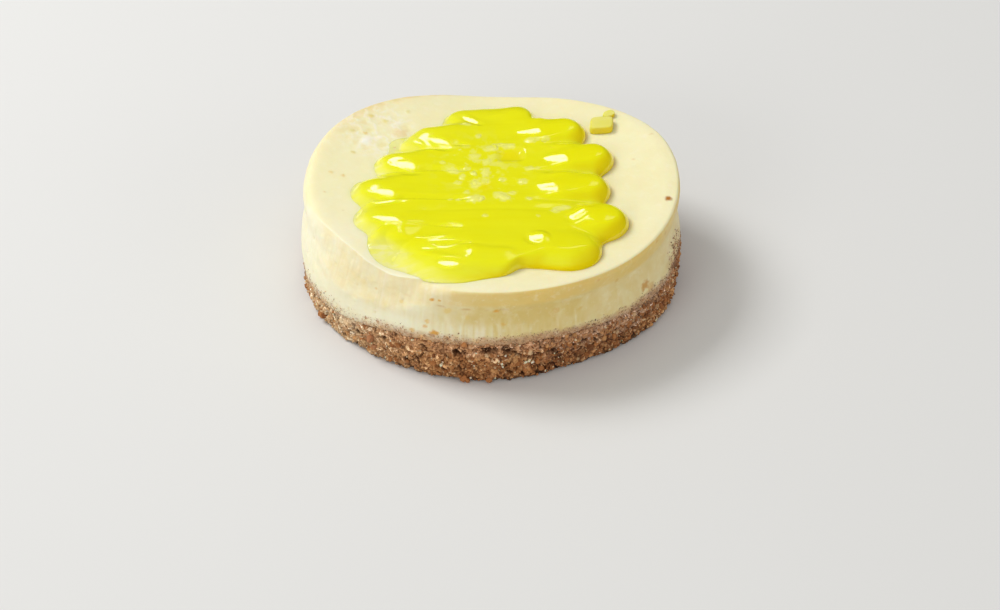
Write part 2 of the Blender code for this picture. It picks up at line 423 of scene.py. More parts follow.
# ---------------------------------------------------------------- materials
def cheese_material():
    g = Graph("baked_cheese_look")
    tint = g.attribute("tint", "Color")
    mottle = g.noise(260.0, 4.0, 0.6)
    tint = g.blend("MULTIPLY", g.ranged(mottle, 0.35, 0.75, 0.0, 0.55), tint, (0.955, 0.93, 0.84, 1.0))
    pale = g.noise(620.0, 3.0, 0.6)
    tint = g.blend("MIX", g.ranged(pale, 0.55, 0.8, 0.0, 0.35), tint, (0.97, 0.94, 0.74, 1.0))
    # small tan specks
    specks = g.cells(330.0)
    lucky = g.node("ShaderNodeSeparateColor")
    g.put(lucky.inputs[0], specks.outputs["Color"])
    dot = g.maths("MULTIPLY", g.ranged(specks.outputs["Distance"], 0.05, 0.17, 1.0, 0.0),
                  g.ranged(lucky.outputs[0], 0.965, 0.975, 0.0, 0.45))
    tint = g.blend("MIX", g.maths("MULTIPLY", dot, g.attribute("specky")), tint, (0.72, 0.55, 0.26, 1.0))
    # brown crumb dust near the base: the more of it the more cells are brown
    dusty = g.attribute("dusty")
    for scale, share, low, high in ((1500.0, 0.58, (0.38, 0.19, 0.085), (0.68, 0.44, 0.25)),
                                    (3300.0, 0.85, (0.36, 0.18, 0.08), (0.66, 0.43, 0.25))):
        grain = g.cells(scale)
        chance = g.node("ShaderNodeSeparateColor")
        g.put(chance.inputs[0], grain.outputs["Color"])
        brown = g.ranged(g.maths("SUBTRACT", g.maths("MULTIPLY", dusty, share), chance.outputs[0]), 0.0, 0.05)
        brown = g.maths("MULTIPLY", brown, g.ranged(grain.outputs["Distance"], 0.40, 0.62, 1.0, 0.25))
        tint = g.blend("MIX", brown, tint, g.ramp(chance.outputs[1], [(0.0, low), (1.0, high)]))
    fine = g.noise(1700.0, 3.0, 0.65)
    soft = g.noise(500.0, 2.0)
    normal = g.bump(soft, 0.0002, 0.35)
    normal = g.bump(fine, 0.00008, 0.5, normal)
    g.set(Base_Color=tint, Roughness=g.ranged(mottle, 0.3, 0.7, 0.42, 0.58), Normal=normal)
    g.shader.inputs["Specular IOR Level"].default_value = 0.25
    g.shader.inputs["Subsurface Weight"].default_value = 0.30
    g.shader.inputs["Subsurface Radius"].default_value = (1.0, 0.70, 0.35)
    g.shader.inputs["Subsurface Scale"].default_value = 0.0016
    return g.material


def crumb_material():
    g = Graph("biscuit_crumb_look")
    tint = g.attribute("tint", "Color")
    big = g.cells(1150.0)
    sep = g.node("ShaderNodeSeparateColor")
    g.put(sep.inputs[0], big.outputs["Color"])
    grain = g.ramp(sep.outputs[0], [(0.0, (0.46, 0.38, 0.32)), (0.3, (0.8, 0.77, 0.74)), (0.62, (1.0, 1.0, 1.0)),
                                    (0.84, (1.3, 1.42, 1.6)), (1.0, (1.8, 2.3, 3.1))])
    tint = g.blend("MULTIPLY", 1.0, tint, grain)
    small = g.cells(2400.0)
    sep2 = g.node("ShaderNodeSeparateColor")
    g.put(sep2.inputs[0], small.outputs["Color"])
    tint = g.blend("MULTIPLY", 0.8, tint, g.ramp(sep2.outputs[1], [(0.0, (0.58, 0.52, 0.46)), (0.5, (1.0, 1.0, 1.0)), (1.0, (1.38, 1.5, 1.7))]))
    # painted shade: the crumb goes dark where the hollow attribute marks hollows, gaps, pits and cracks
    tint = g.blend("MULTIPLY", g.ranged(g.attribute("hollow"), 0.0, 1.0, 0.0, 0.92), tint, (0.14, 0.08, 0.055, 1.0))
    # a film of cream over the crumb near the filling, broken up grain by grain
    cover = g.attribute("cover")
    for cell, share in ((sep, 0.9), (sep2, 1.15)):
        bare = g.ranged(g.maths("SUBTRACT", g.maths("MULTIPLY", cover, share), cell.outputs[2]), -0.06, 0.06)
        if share < 1.0:
            film = g.maths("SUBTRACT", 1.0, bare)
        else:
            film = g.maths("MULTIPLY", g.maths("SUBTRACT", 1.0, g.maths("MULTIPLY", bare, 0.8)), film)
    smear = g.blend("MULTIPLY", 1.0, g.attribute("film", "Color"), g.ramp(sep.outputs[1], [(0.0, (0.86, 0.84, 0.82)), (1.0, (1.12, 1.16, 1.22))]))
    tint = g.blend("MIX", g.maths("MULTIPLY", film, g.ranged(cover, 0.88, 0.99, 1.0, 0.0)), tint, smear)
    edge = g.maths("SUBTRACT", 1.0, big.outputs["Distance"])
    normal = g.bump(edge, 0.00022, 0.7)
    normal = g.bump(g.maths("SUBTRACT", 1.0, small.outputs["Distance"]), 0.00009, 0.6, normal)
    g.set(Base_Color=tint, Roughness=g.ranged(sep.outputs[1], 0.0, 1.0, 0.62, 0.92), Normal=normal)
    g.shader.inputs["Specular IOR Level"].default_value = 0.35
    return g.material


def grain_material(name, rough):
    g = Graph(name)
    tint = g.attribute("tint", "Color")
    speck = g.noise(3200.0, 3.0, 0.6)
    tint = g.blend("MULTIPLY", g.ranged(speck, 0.35, 0.7, 0.0, 0.6), tint, (0.72, 0.66, 0.6, 1.0))
    normal = g.bump(g.noise(5200.0, 2.0), 0.00008, 0.6)
    g.set(Base_Color=tint, Roughness=g.ranged(speck, 0.3, 0.7, rough - 0.1, rough + 0.1), Normal=normal)
    g.shader.inputs["Specular IOR Level"].default_value = 0.4
    return g


def gel_material(name="lemon_gel_look", gloss=1.0):
    g = Graph(name)
    depth = g.attribute("depth")
    cloud = g.noise(170.0, 3.0, 0.55)
    streak = g.noise(1.0, 3.0, 0.6, g.stretch((90.0, 620.0, 90.0)))
    depth = g.maths("ADD", depth, g.ranged(cloud, 0.3, 0.7, -0.25, 0.25))
    depth = g.maths("ADD", depth, g.ranged(streak, 0.3, 0.7, -0.22, 0.22))
    tint = g.ramp(g.maths("DIVIDE", depth, 4.0), [
        (0.0, (0.93, 0.90, 0.35)), (0.03, (0.92, 0.905, 0.22)), (0.10, (0.90, 0.89, 0.13)), (0.28, (0.875, 0.875, 0.045)),
        (0.58, (0.87, 0.865, 0.016)), (0.82, (0.87, 0.845, 0.008)), (1.0, (0.875, 0.82, 0.004))])
    # amber is partly painted shade on faces turned from the key lamp; milky_and_lit is pale over pulp and painted light
    # on the loose pieces' tops
    tint = g.blend("MIX", g.attribute("amber"), tint, (0.93, 0.74, 0.004, 1.0))
    tint = g.blend("MIX", g.attribute("milky_and_lit"), tint, (0.91, 0.90, 0.21, 1.0))
    if gloss < 1.0:
        tint = g.blend("MULTIPLY", 1.0, tint, (0.87, 0.835, 0.9, 1.0))
    g.set(Base_Color=tint, Roughness=g.ranged(cloud, 0.3, 0.7, 0.06 + 0.3 * (1.0 - gloss), 0.12 + 0.3 * (1.0 - gloss)))
    g.set(Normal=g.bump(g.noise(900.0, 2.0), 0.00002, 0.2))
    g.shader.inputs["IOR"].default_value = 1.40
    g.shader.inputs["Coat Weight"].default_value = 0.75 * gloss
    g.shader.inputs["Coat Roughness"].default_value = 0.03
    g.shader.inputs["Subsurface Weight"].default_value = 0.65
    g.shader.inputs["Subsurface Radius"].default_value = (1.0, 0.94, 0.14)
    g.shader.inputs["Subsurface Scale"].default_value = 0.0009
    return g.material


def pulp_material():
    g = Graph("lemon_pulp_look")
    tint = g.attribute("tint", "Color")
    cloud = g.noise(900.0, 3.0, 0.6)
    tint = g.blend("MIX", g.ranged(cloud, 0.45, 0.75, 0.0, 0.35), tint, (0.95, 0.94, 0.30, 1.0))
    g.set(Base_Color=tint, Roughness=g.ranged(cloud, 0.3, 0.7, 0.16, 0.38))
    g.set(Normal=g.bump(g.noise(1500.0, 2.0), 0.00008, 0.3))
    g.shader.inputs["IOR"].default_value = 1.42
    g.shader.inputs["Coat Weight"].default_value = 0.3
    g.shader.inputs["Coat Roughness"].default_value = 0.08
    g.shader.inputs["Subsurface Weight"].default_value = 0.25
    g.shader.inputs["Subsurface Radius"].default_value = (1.0, 0.97, 0.45)
    g.shader.inputs["Subsurface Scale"].default_value = 0.0002
    return g.material


# ---------------------------------------------------------------- cheese filling
CREAM = (0.925, 0.875, 0.560)
CREAM_DEEP = (0.90, 0.82, 0.45)
WALL_PALE = (0.925, 0.89, 0.66)
WALL_WARM = (0.86, 0.74, 0.41)
WALL_TAN = (0.74, 0.575, 0.205)
RIM_TAN = (0.83, 0.62, 0.20)
BLUSH = (0.91, 0.79, 0.45)
FILM_PALE = (0.86, 0.67, 0.42)
FILM_BROWN = (0.49, 0.275, 0.15)

# Azimuth and height of the line above which the cream is clean, and of the one below which all is crumb.
FILM_TOP = ((-180, 6.2), (-168, 7.5), (-160, 8.2), (-144, 8.8), (-136, 8.8), (-128, 9.8), (-120, 10.6), (-108, 11.1),
            (-80, 11.4), (-68, 11.0), (-56, 10.3), (-40, 10.2), (-32, 10.8), (-24, 10.2), (-12, 11.0), (0, 9.8),
            (40, 9.0), (90, 9.4), (140, 8.6), (180, 6.2))
BROWN_LINE = ((-180, 0.8), (-168, 2.8), (-160, 4.0), (-152, 4.2), (-144, 3.2), (-136, 3.3), (-130, 5.6), (-126, 7.0),
              (-120, 7.6), (-112, 7.8), (-104, 8.0), (-96, 7.7), (-88, 8.2), (-72, 8.7), (-64, 8.0), (-56, 7.0), (-48, 7.0),
              (-40, 6.4), (-32, 7.6), (-24, 6.9), (-12, 8.4), (0, 8.2), (40, 7.4), (90, 7.8), (140, 6.6), (165, 3.6), (180, 0.8))


def crumb_line(azimuth):
    """Where the crumb layer really ends: the CAD's line, made ragged."""
    a = np.radians(azimuth)
    ring = np.stack([np.cos(a), np.sin(a), np.zeros_like(a)], axis=1)
    low = crumb_edge(azimuth) - 0.7 - 1.0 * bell(azimuth, -146.0, 20.0) + 0.5 * bell(azimuth, -80.0, 40.0)
    return low + 0.45 * perlin(ring * 9.0) + 0.45 * perlin(ring * 26.0 + 5.0) + 0.3 * perlin(ring * 70.0)


def crumb_cover(az, z):
    """How much of the side is crumb rather than cream at a place: 1 in the crumb, 0 in the clean cream."""
    top = np.interp(az, *zip(*FILM_TOP))
    brown = np.interp(az, *zip(*BROWN_LINE))
    a = np.radians(az)
    at = np.stack([39.0 * np.cos(a), 39.0 * np.sin(a), z], axis=1)
    wander = 1.3 * fractal(at / 2.6 + 12.0, 3) + 0.5 * perlin(at / 0.8)
    t = np.clip((z - brown + wander * 0.6) / np.maximum(top - brown + 0.5, 1.0), 0.0, 1.0)
    return (1.0 - t) ** (0.8 + 1.1 * bell(az, -154.0, 24.0) + 0.6 * bell(az, 90.0, 60.0))


def crispness(azimuth):
    """1 where the rim's edge is crisp, at the front and the right; 0 where it is well rounded."""
    return np.clip(1.1 * bell(azimuth, -70.0, 46.0) + 1.0 * bell(azimuth, 0.0, 42.0) + 0.35 * bell(azimuth, 75.0, 50.0), 0.0, 1.0)


def film_colour(azimuth, z=None):
    """The smeared mix of cream and crumb: sandy at the left, orange to pinkish brown at the front and right."""
    c = tone(FILM_BROWN, FILM_PALE, np.clip(1.1 * bell(azimuth, -160.0, 40.0) + 0.3 * bell(azimuth, 150.0, 40.0), 0.0, 1.0))
    if z is not None:
        a = np.radians(azimuth)
        at = np.stack([39.0 * np.cos(a), 39.0 * np.sin(a), z * 1.3], axis=1)
        c = tone(c, (0.72, 0.37, 0.13), smooth(0.15 + 2.4 * fractal(at / 2.2 + 31.0, 2)) * (0.25 + 0.7 * bell(azimuth, -108.0, 18.0)))
        c = tone(c, (0.55, 0.325, 0.205), smooth(0.1 + 2.4 * fractal(at / 1.5 + 61.0, 2)) * 0.75)
        c = tone(c, (0.64, 0.45, 0.32), bell(azimuth, -40.0, 24.0) * smooth(0.3 + 2.0 * fractal(at / 1.2 + 71.0, 2)) * 0.7)
        c = tone(c, (0.30, 0.125, 0.055), smooth(-0.35 + 2.6 * fractal(at / 0.9 + 81.0, 2)) * 0.6)
    return c


def edge_width(azimuth):
    return EDGE_WIDTH - 1.75 * crispness(azimuth)


def edge_depth(azimuth):
    return EDGE_DEPTH - 2.05 * crispness(azimuth)


def filling_piece(material, around=740):
    azimuth = 360.0 * np.arange(around) / around - 180.0
    a = np.radians(azimuth)
    rows = []

    def row(r, z):
        rows.append(np.stack([r * np.cos(a), r * np.sin(a), np.broadcast_to(z, r.shape)], axis=1))

    low = crumb_edge(azimuth) - 2.6
    for share in (0.3, 0.7, 0.93):
        row(wall_radius(azimuth, low) * share, low)
    width, depth = edge_width(azimuth), edge_depth(azimuth)
    high = rim_height(azimuth) - depth
    wall_rows = 62
    for t in np.linspace(0.0, 1.0, wall_rows):
        z = low + (high - low) * t
        row(wall_radius(azimuth, z), z)
    for turn in np.radians(np.linspace(0.0, 90.0, 21)[1:]):
        row(wall_radius(azimuth, high) - width * (1.0 - math.cos(turn)),
            rim_height(azimuth) - depth * (1.0 - math.sin(turn)))
    last_out = wall_radius(azimuth, high) - width
    for share in np.concatenate([np.linspace(0.988, 0.60, 30), np.linspace(0.54, 0.06, 9)]):
        r = last_out * share
        flat = rim_radius(azimuth) - EDGE_WIDTH
        level = CENTRE_HEIGHT + (rim_height(azimuth) - CENTRE_HEIGHT) * np.minimum(r / flat, 1.0) ** 2.6
        row(r, level)
    grid = np.stack(rows)
    # let the rim's rounding run into the top without a crease, less so along the crisp front
    first, last = 3 + wall_rows - 4, 3 + wall_rows + 20 + 14
    ease = (0.5 - 0.46 * crispness(azimuth))[None, :, None]
    for _ in range(22):
        middle = (grid[first - 1:last - 1] + grid[first + 1:last + 1]) / 2.0
        grid[first:last] += ease * (middle - grid[first:last])
    # the flattened patch of rim at the front left, as if a knife had slid down it
    out = np.hypot(grid[..., 0], grid[..., 1])
    along = np.degrees(np.arctan2(grid[..., 1], grid[..., 0]))
    flatten = smooth((along + 177.0) / 30.0) * (1.0 - smooth((along + 116.0) / 16.0))
    around_at = grid.reshape(-1, 3)
    foot_z = np.interp(along, [-178.0, -160.0, -145.0, -136.0, -129.0, -124.0, -112.0], [19.6, 17.4, 14.8, 13.9, 14.8, 15.1, 16.8])
    brow_r = np.interp(along, [-178.0, -160.0, -144.0, -128.0, -112.0], [38.4, 37.4, 36.5, 35.8, 35.6])
    brow_z = np.interp(along, [-178.0, -150.0, -112.0], [22.6, 21.0, 20.4])
    rise, run = brow_z - foot_z, wall_radius(along, foot_z) - 0.25 - brow_r
    size = np.maximum(np.hypot(rise, run), 0.5)
    over = ((out - brow_r) * rise + (grid[..., 2] - brow_z) * run) / size
    over = over - 0.16 * fractal(around_at / 3.5, 2).reshape(out.shape)
    over = flatten * 0.10 * np.where(over / 0.10 > 20.0, over / 0.10, np.log1p(np.exp(np.minimum(over / 0.10, 20.0))))
    cut = smooth(over / 0.28).reshape(-1)
    brow_highlight = (np.exp(-((over - 0.12) / 0.13) ** 2) * flatten * smooth((grid[..., 2] - 18.8) / 0.8)).reshape(-1)
    grid -= np.stack([rise / size * grid[..., 0] / out * over, rise / size * grid[..., 1] / out * over, run / size * over], axis=-1)
    normal = ring_normals(grid)
    rings = len(rows)
    p, n = grid.reshape(-1, 3), normal.reshape(-1, 3)
    az = np.tile(azimuth, rings)
    z = p[:, 2]
    r = np.hypot(p[:, 0], p[:, 1])
    arc = np.radians(az) * 39.0
    wall = smooth((0.8 - n[:, 2]) / 0.5)
    top = 1.0 - wall
    edge = crumb_line(az)
    above = z - edge
    cover = crumb_cover(az, z)
    ring_at = np.stack([39.0 * np.cos(np.radians(az)), 39.0 * np.sin(np.radians(az)), z], axis=1)
    streaks = np.stack([ring_at[:, 0] / 0.75, ring_at[:, 1] / 0.75, z / 7.0], axis=1)
    comb = np.stack([ring_at[:, 0] / 0.5, ring_at[:, 1] / 0.5, z / 9.0], axis=1)
    front_drag = bell(az, -99.0, 15.0) * smooth((z - 9.2) / 1.2) * smooth((14.6 - z) / 1.6)

    # relief, in mm along the normal
    d = 0.16 * fractal(p / 9.0, 2) * wall + 0.09 * fractal(p / 8.0 + 3.0, 2) * top
    d += (0.07 * fractal(p / 2.6, 3) + 0.03 * perlin(p / 0.9)) * wall
    d += (0.022 * fractal(p / 2.2 + 9.0, 2)) * top
    dragged = 0.30 + 0.60 * bell(az, -95.0, 40.0) + 0.3 * bell(az, -10.0, 30.0)
    d += 0.07 * perlin(streaks) * wall * dragged * smooth((19.0 - z) / 2.0)
    d += 0.07 * front_drag * (0.4 + 1.4 * perlin(comb * 1.2 + 3.0))
    d += cut * (0.07 * perlin(comb + 40.0) + 0.08 * fractal(ring_at / 1.5, 2)) * smooth((21.0 - z) / 1.5)
    # the cream swells out again under the flattened patch
    below = flatten.reshape(-1) * np.exp(-((z - foot_z.reshape(-1) + 1.3) / 1.5) ** 2) * wall
    d += 0.30 * below
    # a thin broken ledge under the rim at the front
    ledge = 17.3 + 0.35 * perlin(np.stack([arc / 9.0, arc * 0, arc * 0 + 2.0], axis=1))
    broken = smooth((perlin(np.stack([arc / 2.6, arc * 0 + 6.0, arc * 0], axis=1)) + 0.02) / 0.25)
    at_ledge = np.exp(-((z - ledge) / 0.17) ** 2) * wall * (bell(az, -94.0, 15.0) + 0.3 * bell(az, -52.0, 14.0)) * broken
    d -= 0.14 * at_ledge
    # bubbles that burst against the mould
    f1, _, v = cells(p / 2.3 + 4.0)
    pore = np.where(v > 0.78, smooth((0.19 - f1) / 0.12), 0.0) * wall * smooth(above / 1.5)
    f2, _, v2 = cells(p / 1.1 + 11.0)
    pore2 = np.where(v2 > 0.86, smooth((0.24 - f2) / 0.16), 0.0) * wall * smooth(above / 1.0) * smooth((16.0 - z) / 3.0)
    d -= 0.18 * pore + 0.09 * pore2
    f3, _, v3 = cells(p / 5.0 + 2.0)
    dimple = np.where(v3 > 0.8, smooth((0.09 - f3) / 0.07), 0.0) * top
    d -= 0.10 * dimple
    # wrinkled skin at the back left of the top
    ex, ey = (p[:, 0] + 24.3) / 8.6, (p[:, 1] - 18.6) / 9.4
    wrinkle = smooth((1.25 - np.hypot(ex, ey)) / 0.7) * top
    folds = 1.0 - np.abs(fractal(np.stack([(p[:, 0] + 0.6 * p[:, 1]) / 4.2, (p[:, 1] - 0.5 * p[:, 0]) / 2.9, p[:, 2] * 0 + 1.0], axis=1), 2)) * 2.2
    folds = np.maximum(folds, 0.0) ** 2
    d += wrinkle * (0.14 * folds - 0.09 + 0.05 * perlin(p / 1.4))
    # rough where crumbs cling, and tucked in behind the crumb layer
    d += 0.20 * cover * wall * (fractal(ring_at / 1.1 + 2.0, 3) + 0.1)
    d -= 0.55 * smooth(-above / 0.8 + 0.35) * wall
    d -= 1.9 * smooth((-above - 0.55) / 0.9) * wall
    flat_rows = 3 * around
    d[:flat_rows] = 0.0
    q = p + n * d[:, None]

    # colour of the top
    slow = fractal(p / 14.0 + 7.0, 2)
    fine = fractal(p / 3.0 + 1.0, 3)
    c = tone(CREAM, CREAM_DEEP, smooth(0.30 + 0.9 * slow + 0.3 * fine) * 0.35)
    c = tone(c, (0.93, 0.88, 0.60), bell(az, -85.0, 50.0) * smooth((r - 33.0) / 4.0) * 0.6)
    back_rim = smooth((r - 33.0) / 5.0) * bell(az, 118.0, 30.0)
    c = tone(c, (0.88, 0.74, 0.40), back_rim * top * 0.45)
    # along the gel's outline: on the cream at its right a painted shadow, amber from the light through the gel; at its
    # left a pale lime stain
    beside = gel_field(p[:, 0], p[:, 1])[0]
    c = tone(c, (0.90, 0.72, 0.30), smooth((beside + 1.2) / 1.2) * top * smooth((p[:, 0] - 3.0) / 10.0) * 0.5)
    c = tone(c, (0.92, 0.90, 0.34), smooth((beside + 0.8) / 0.8) * top * (1.0 - smooth((p[:, 0] + 2.0) / 8.0)) * 0.4)
    # tanned lip along the back
    lip = np.clip(1.3 * bell(az, 116.0, 24.0), 0.0, 1.0) * smooth((r - 35.2) / 1.3) * smooth(0.75 + 1.4 * fine)
    c = tone(c, (0.82, 0.66, 0.28), lip * 0.65)
    c = tone(c, (0.72, 0.50, 0.17), lip * smooth((r - 36.4) / 0.8) * (0.15 + 0.4 * bell(az, 100.0, 8.0) + 0.3 * bell(az, 140.0, 7.0)))
    # colour of the side: pale on the left where the key lamp falls, warm to tan towards the front and right away from
    # it; painted light and shade, partly a darker baked skin
    side = tone(WALL_WARM, WALL_PALE, np.clip(bell(az, -160.0, 44.0) + 0.12 * slow, 0.0, 1.0))
    patches = fractal(np.stack([ring_at[:, 0] / 5.0, ring_at[:, 1] / 5.0, z / 3.2 + 30.0], axis=1), 3)
    tan_and_shade = bell(az, -76.0, 17.0) * 0.72 + bell(az, -40.0, 34.0) * 0.30 + (0.2 + 0.9 * patches) * bell(az, -72.0, 42.0) * 0.6
    # painted shade: a darker band just under the rim's overhang at the front
    tan_and_shade = tan_and_shade + 0.45 * bell(az, -87.0, 10.0) * np.exp(-((z - 15.2) / 2.2) ** 2)
    side = tone(side, WALL_TAN, np.clip(tan_and_shade, 0.0, 1.0) * smooth((z - 8.5) / 1.8))
    side = tone(side, (0.92, 0.88, 0.60), smooth(0.25 + 1.4 * fine) * 0.30)
    side = tone(side, (0.95, 0.92, 0.72), np.clip(front_drag * (0.35 + 1.3 * perlin(comb * 0.8 + 3.0)), 0.0, 0.8))
    side = tone(side, (0.93, 0.89, 0.66), np.clip(below * 0.8, 0.0, 1.0))
    side = tone(side, (0.965, 0.93, 0.68), smooth(1.6 * perlin(streaks * (1.0, 1.0, 1.3) + 50.0)) * bell(az, -98.0, 36.0) * smooth((17.5 - z) / 4.5) * 0.65)
    side = tone(side, (0.80, 0.69, 0.30), smooth(2.4 * perlin(streaks * (0.8, 0.8, 1.6) + 70.0) - 0.1) * bell(az, -90.0, 42.0) * smooth((18.5 - z) / 4.0) * 0.4)
    side = tone(side, (0.97, 0.935, 0.71), np.clip(bell(az, -122.0, 13.0) * 1.1, 0.0, 1.0) * smooth((14.0 - z) / 2.0) * 0.8)
    side = tone(side, (0.80, 0.66, 0.29), np.exp(-((az + 80.0) / 11.0) ** 2 - ((z - 12.6) / 2.6) ** 2) * 0.45)
    c = tone(c, side, wall)
    # tan band on the rim's rounding, strongest at the front and right: partly browned skin, partly painted shade where
    # the rounding turns away from the lamps
    rim_share = np.clip(bell(az, -78.0, 26.0) + 0.62 * bell(az, -40.0, 34.0) + 0.35 * bell(az, -10.0, 24.0) + 0.5 * bell(az, 110.0, 42.0) + 0.1, 0.0, 1.0)
    deep = rim_height(az) - np.interp(np.abs((az + 85.0 + 180.0) % 360.0 - 180.0), [0.0, 40.0, 90.0], [4.3, 4.4, 5.4])
    band = smooth((z - deep) / 1.3) * smooth((0.78 + 0.15 * bell(az, -85.0, 35.0) - n[:, 2]) / 0.22)
    c = tone(c, RIM_TAN, np.clip(band * rim_share * (0.80 + 0.5 * slow + 0.35 * fine), 0.0, 1.0) * (1.0 - cut))
    # the flattened patch: beige with fine vertical streaks, a pale line painted along its upper edge as a highlight
    worn = cut * smooth((az + 162.0) / 16.0)
    c = tone(c, BLUSH, np.clip(worn * (0.55 + 0.8 * fine), 0.0, 1.0))
    c = tone(c, (0.94, 0.86, 0.66), worn * smooth(0.1 + 2.0 * perlin(comb * 0.7 + 8.0)) * 0.45)
    c = tone(c, (0.87, 0.74, 0.46), worn * smooth(-0.1 + 2.2 * perlin(comb * 0.9 + 28.0)) * 0.45)
    c = tone(c, (0.95, 0.92, 0.74), np.clip(brow_highlight * 1.2, 0.0, 1.0) * 0.8)
    c = tone(c, (0.66, 0.42, 0.16), np.clip(at_ledge * 0.8, 0.0, 0.7))
    c = tone(c, (0.80, 0.62, 0.30), np.clip(pore + 0.6 * pore2, 0.0, 1.0) * 0.35)
    # wrinkled skin: paler mottling, the fold crests painted whiter as highlights, yellower between them
    c = tone(c, (0.93, 0.87, 0.66), wrinkle * smooth(0.2 + 1.5 * fine) * 0.5)
    c = tone(c, (0.98, 0.95, 0.84), wrinkle * smooth((folds - 0.62) / 0.2) * 0.5)
    c = tone(c, (0.86, 0.74, 0.36), wrinkle * smooth((0.14 - folds) / 0.12) * 0.5)
    # cream greyed with fine crumb on the foot of the wall
    c = tone(c, film_colour(az, z) * (1.0 + 0.45 * fractal(ring_at / 0.8 + 9.0, 2))[:, None], np.clip(cover * 1.9, 0.0, 1.0) * wall * 0.92)
    smear = np.exp(-((az + 14.0) / 6.5) ** 2) * smooth((16.2 - z) / 4.5) * smooth(0.55 + 1.6 * fractal(ring_at / 1.8, 3)) * wall
    c = tone(c, (0.50, 0.25, 0.12), smear * 0.85)

    # spots: azimuth, height, half size, colour, strength
    for at, height, size, colour in (
            (-107.8, 18.3, 0.62, (0.80, 0.47, 0.10)), (-105.6, 18.5, 0.40, (0.80, 0.50, 0.12)),
            (-109.5, 12.3, 0.45, (0.82, 0.50, 0.12)), (-109.0, 13.6, 0.7, (0.86, 0.62, 0.20)),
            (-106.6, 11.2, 0.9, (0.78, 0.46, 0.14)), (-113.5, 10.8, 0.7, (0.80, 0.54, 0.20)),
            (-88.1, 17.0, 0.5, (0.78, 0.48, 0.12)), (-86.3, 14.2, 0.42, (0.80, 0.58, 0.2)),
            (-103.0, 16.6, 0.8, (0.86, 0.72, 0.34)), (-97.0, 15.4, 0.6, (0.84, 0.72, 0.36)),
            (-56.0, 20.2, 0.40, (0.76, 0.50, 0.20)), (-36.3, 12.4, 1.25, (0.66, 0.42, 0.18)),
            (-34.0, 11.4, 1.2, (0.72, 0.52, 0.30)), (-70.0, 15.6, 0.7, (0.76, 0.58, 0.26)),
            (-62.0, 14.5, 0.5, (0.76, 0.60, 0.28)), (-48.0, 17.4, 0.6, (0.76, 0.58, 0.27)),
            (-128.0, 16.2, 0.4, (0.86, 0.62, 0.28)), (-120.0, 17.6, 0.35, (0.84, 0.60, 0.26)),
            (-118.0, 15.8, 0.45, (0.86, 0.72, 0.30)), (-30.0, 20.6, 0.5, (0.76, 0.52, 0.20)),
            (12.0, 15.0, 0.5, (0.78, 0.52, 0.2)), (62.0, 14.0, 0.6, (0.78, 0.55, 0.2)),
            (104.0, 16.5, 0.5, (0.78, 0.52, 0.18)), (150.0, 13.0, 0.5, (0.8, 0.58, 0.24)),
            (-11.0, 21.0, 0.9, (0.74, 0.54, 0.28)), (-24.0, 20.4, 0.7, (0.76, 0.58, 0.34))):
        mid = np.array([wall_radius(at, height) * math.cos(math.radians(at)), wall_radius(at, height) * math.sin(math.radians(at)), height])
        away = np.linalg.norm((q - mid) * (1.0, 1.0, 1.25), axis=1) / size + 1.1 * perlin(p / 0.8 + at)
        c = tone(c, np.array(colour) * (0.97, 0.86, 0.55), smooth((1.2 - away) / 0.6) * (0.95 if at in (-107.8, -105.6, -88.1, -106.6, -36.3) else 0.6))
    # spots on the top, each over a small raised bump; the two near-white ones at the back left are painted glints,
    # partly a pale patch of skin
    for x, y, size, colour in (
            (36.6, -6.8, 0.85, (0.46, 0.17, 0.02)), (-30.9, 2.4, 0.62, (0.82, 0.60, 0.22)),
            (-33.4, 3.0, 0.5, (0.86, 0.68, 0.30)), (-29.4, 17.9, 0.55, (0.76, 0.66, 0.24)),
            (-29.1, 10.7, 0.5, (0.78, 0.66, 0.24)), (-25.8, 23.4, 0.75, (0.80, 0.66, 0.22)),
            (-19.3, 18.5, 1.9, (0.87, 0.70, 0.38)), (-33.4, 23.9, 0.5, (0.84, 0.68, 0.32)),
            (-26.6, 17.5, 0.6, (0.82, 0.56, 0.16)), (-22.7, 22.2, 0.9, (0.84, 0.74, 0.30)),
            (-26.5, 14.8, 1.5, (0.985, 0.955, 0.88)), (-23.6, 16.7, 0.7, (0.975, 0.95, 0.82)),
            (-17.9, 26.2, 0.6, (0.84, 0.76, 0.34)), (-20.4, 13.6, 0.6, (0.84, 0.62, 0.20)),
            (-34.4, -4.0, 0.4, (0.86, 0.70, 0.36)), (30.0, 8.0, 0.3, (0.84, 0.68, 0.38)),
            (34.0, 16.0, 0.4, (0.84, 0.66, 0.34))):
        away = np.hypot(p[:, 0] - x, p[:, 1] - y) / size + 0.5 * perlin(p / 0.7)
        spot = smooth((1.15 - away) / 0.75) * top
        c = tone(c, colour, np.clip(spot * (1.0 if size == 0.85 else 0.85), 0.0, 1.0))
        q = q + n * (0.10 * spot)[:, None]

    specky = np.clip(0.35 + 0.45 * top + 1.2 * fractal(p / 9.0 + 21.0, 2), 0.0, 1.0)
    floor = float(low.mean())
    verts = np.concatenate([[[0.0, 0.0, floor], [0.0, 0.0, CENTRE_HEIGHT]], q])
    pad = lambda v, s: np.concatenate([[s, s], v])
    colour = np.concatenate([[CREAM, CREAM], c])
    dusty = np.clip(cover + 0.75 * smear, 0.0, 1.0) * wall
    return new_object("cheese_filling", verts, loft_faces(rings, around), material, ("filling",),
                      {"tint": colour, "dusty": pad(dusty, 0.0), "specky": pad(specky, 0.5)})


# ---------------------------------------------------------------- crumb base
CRUMB_MID = (0.47, 0.185, 0.060)
CRUMB_DARK = (0.27, 0.095, 0.028)
CRUMB_GOLD = (0.66, 0.31, 0.105)

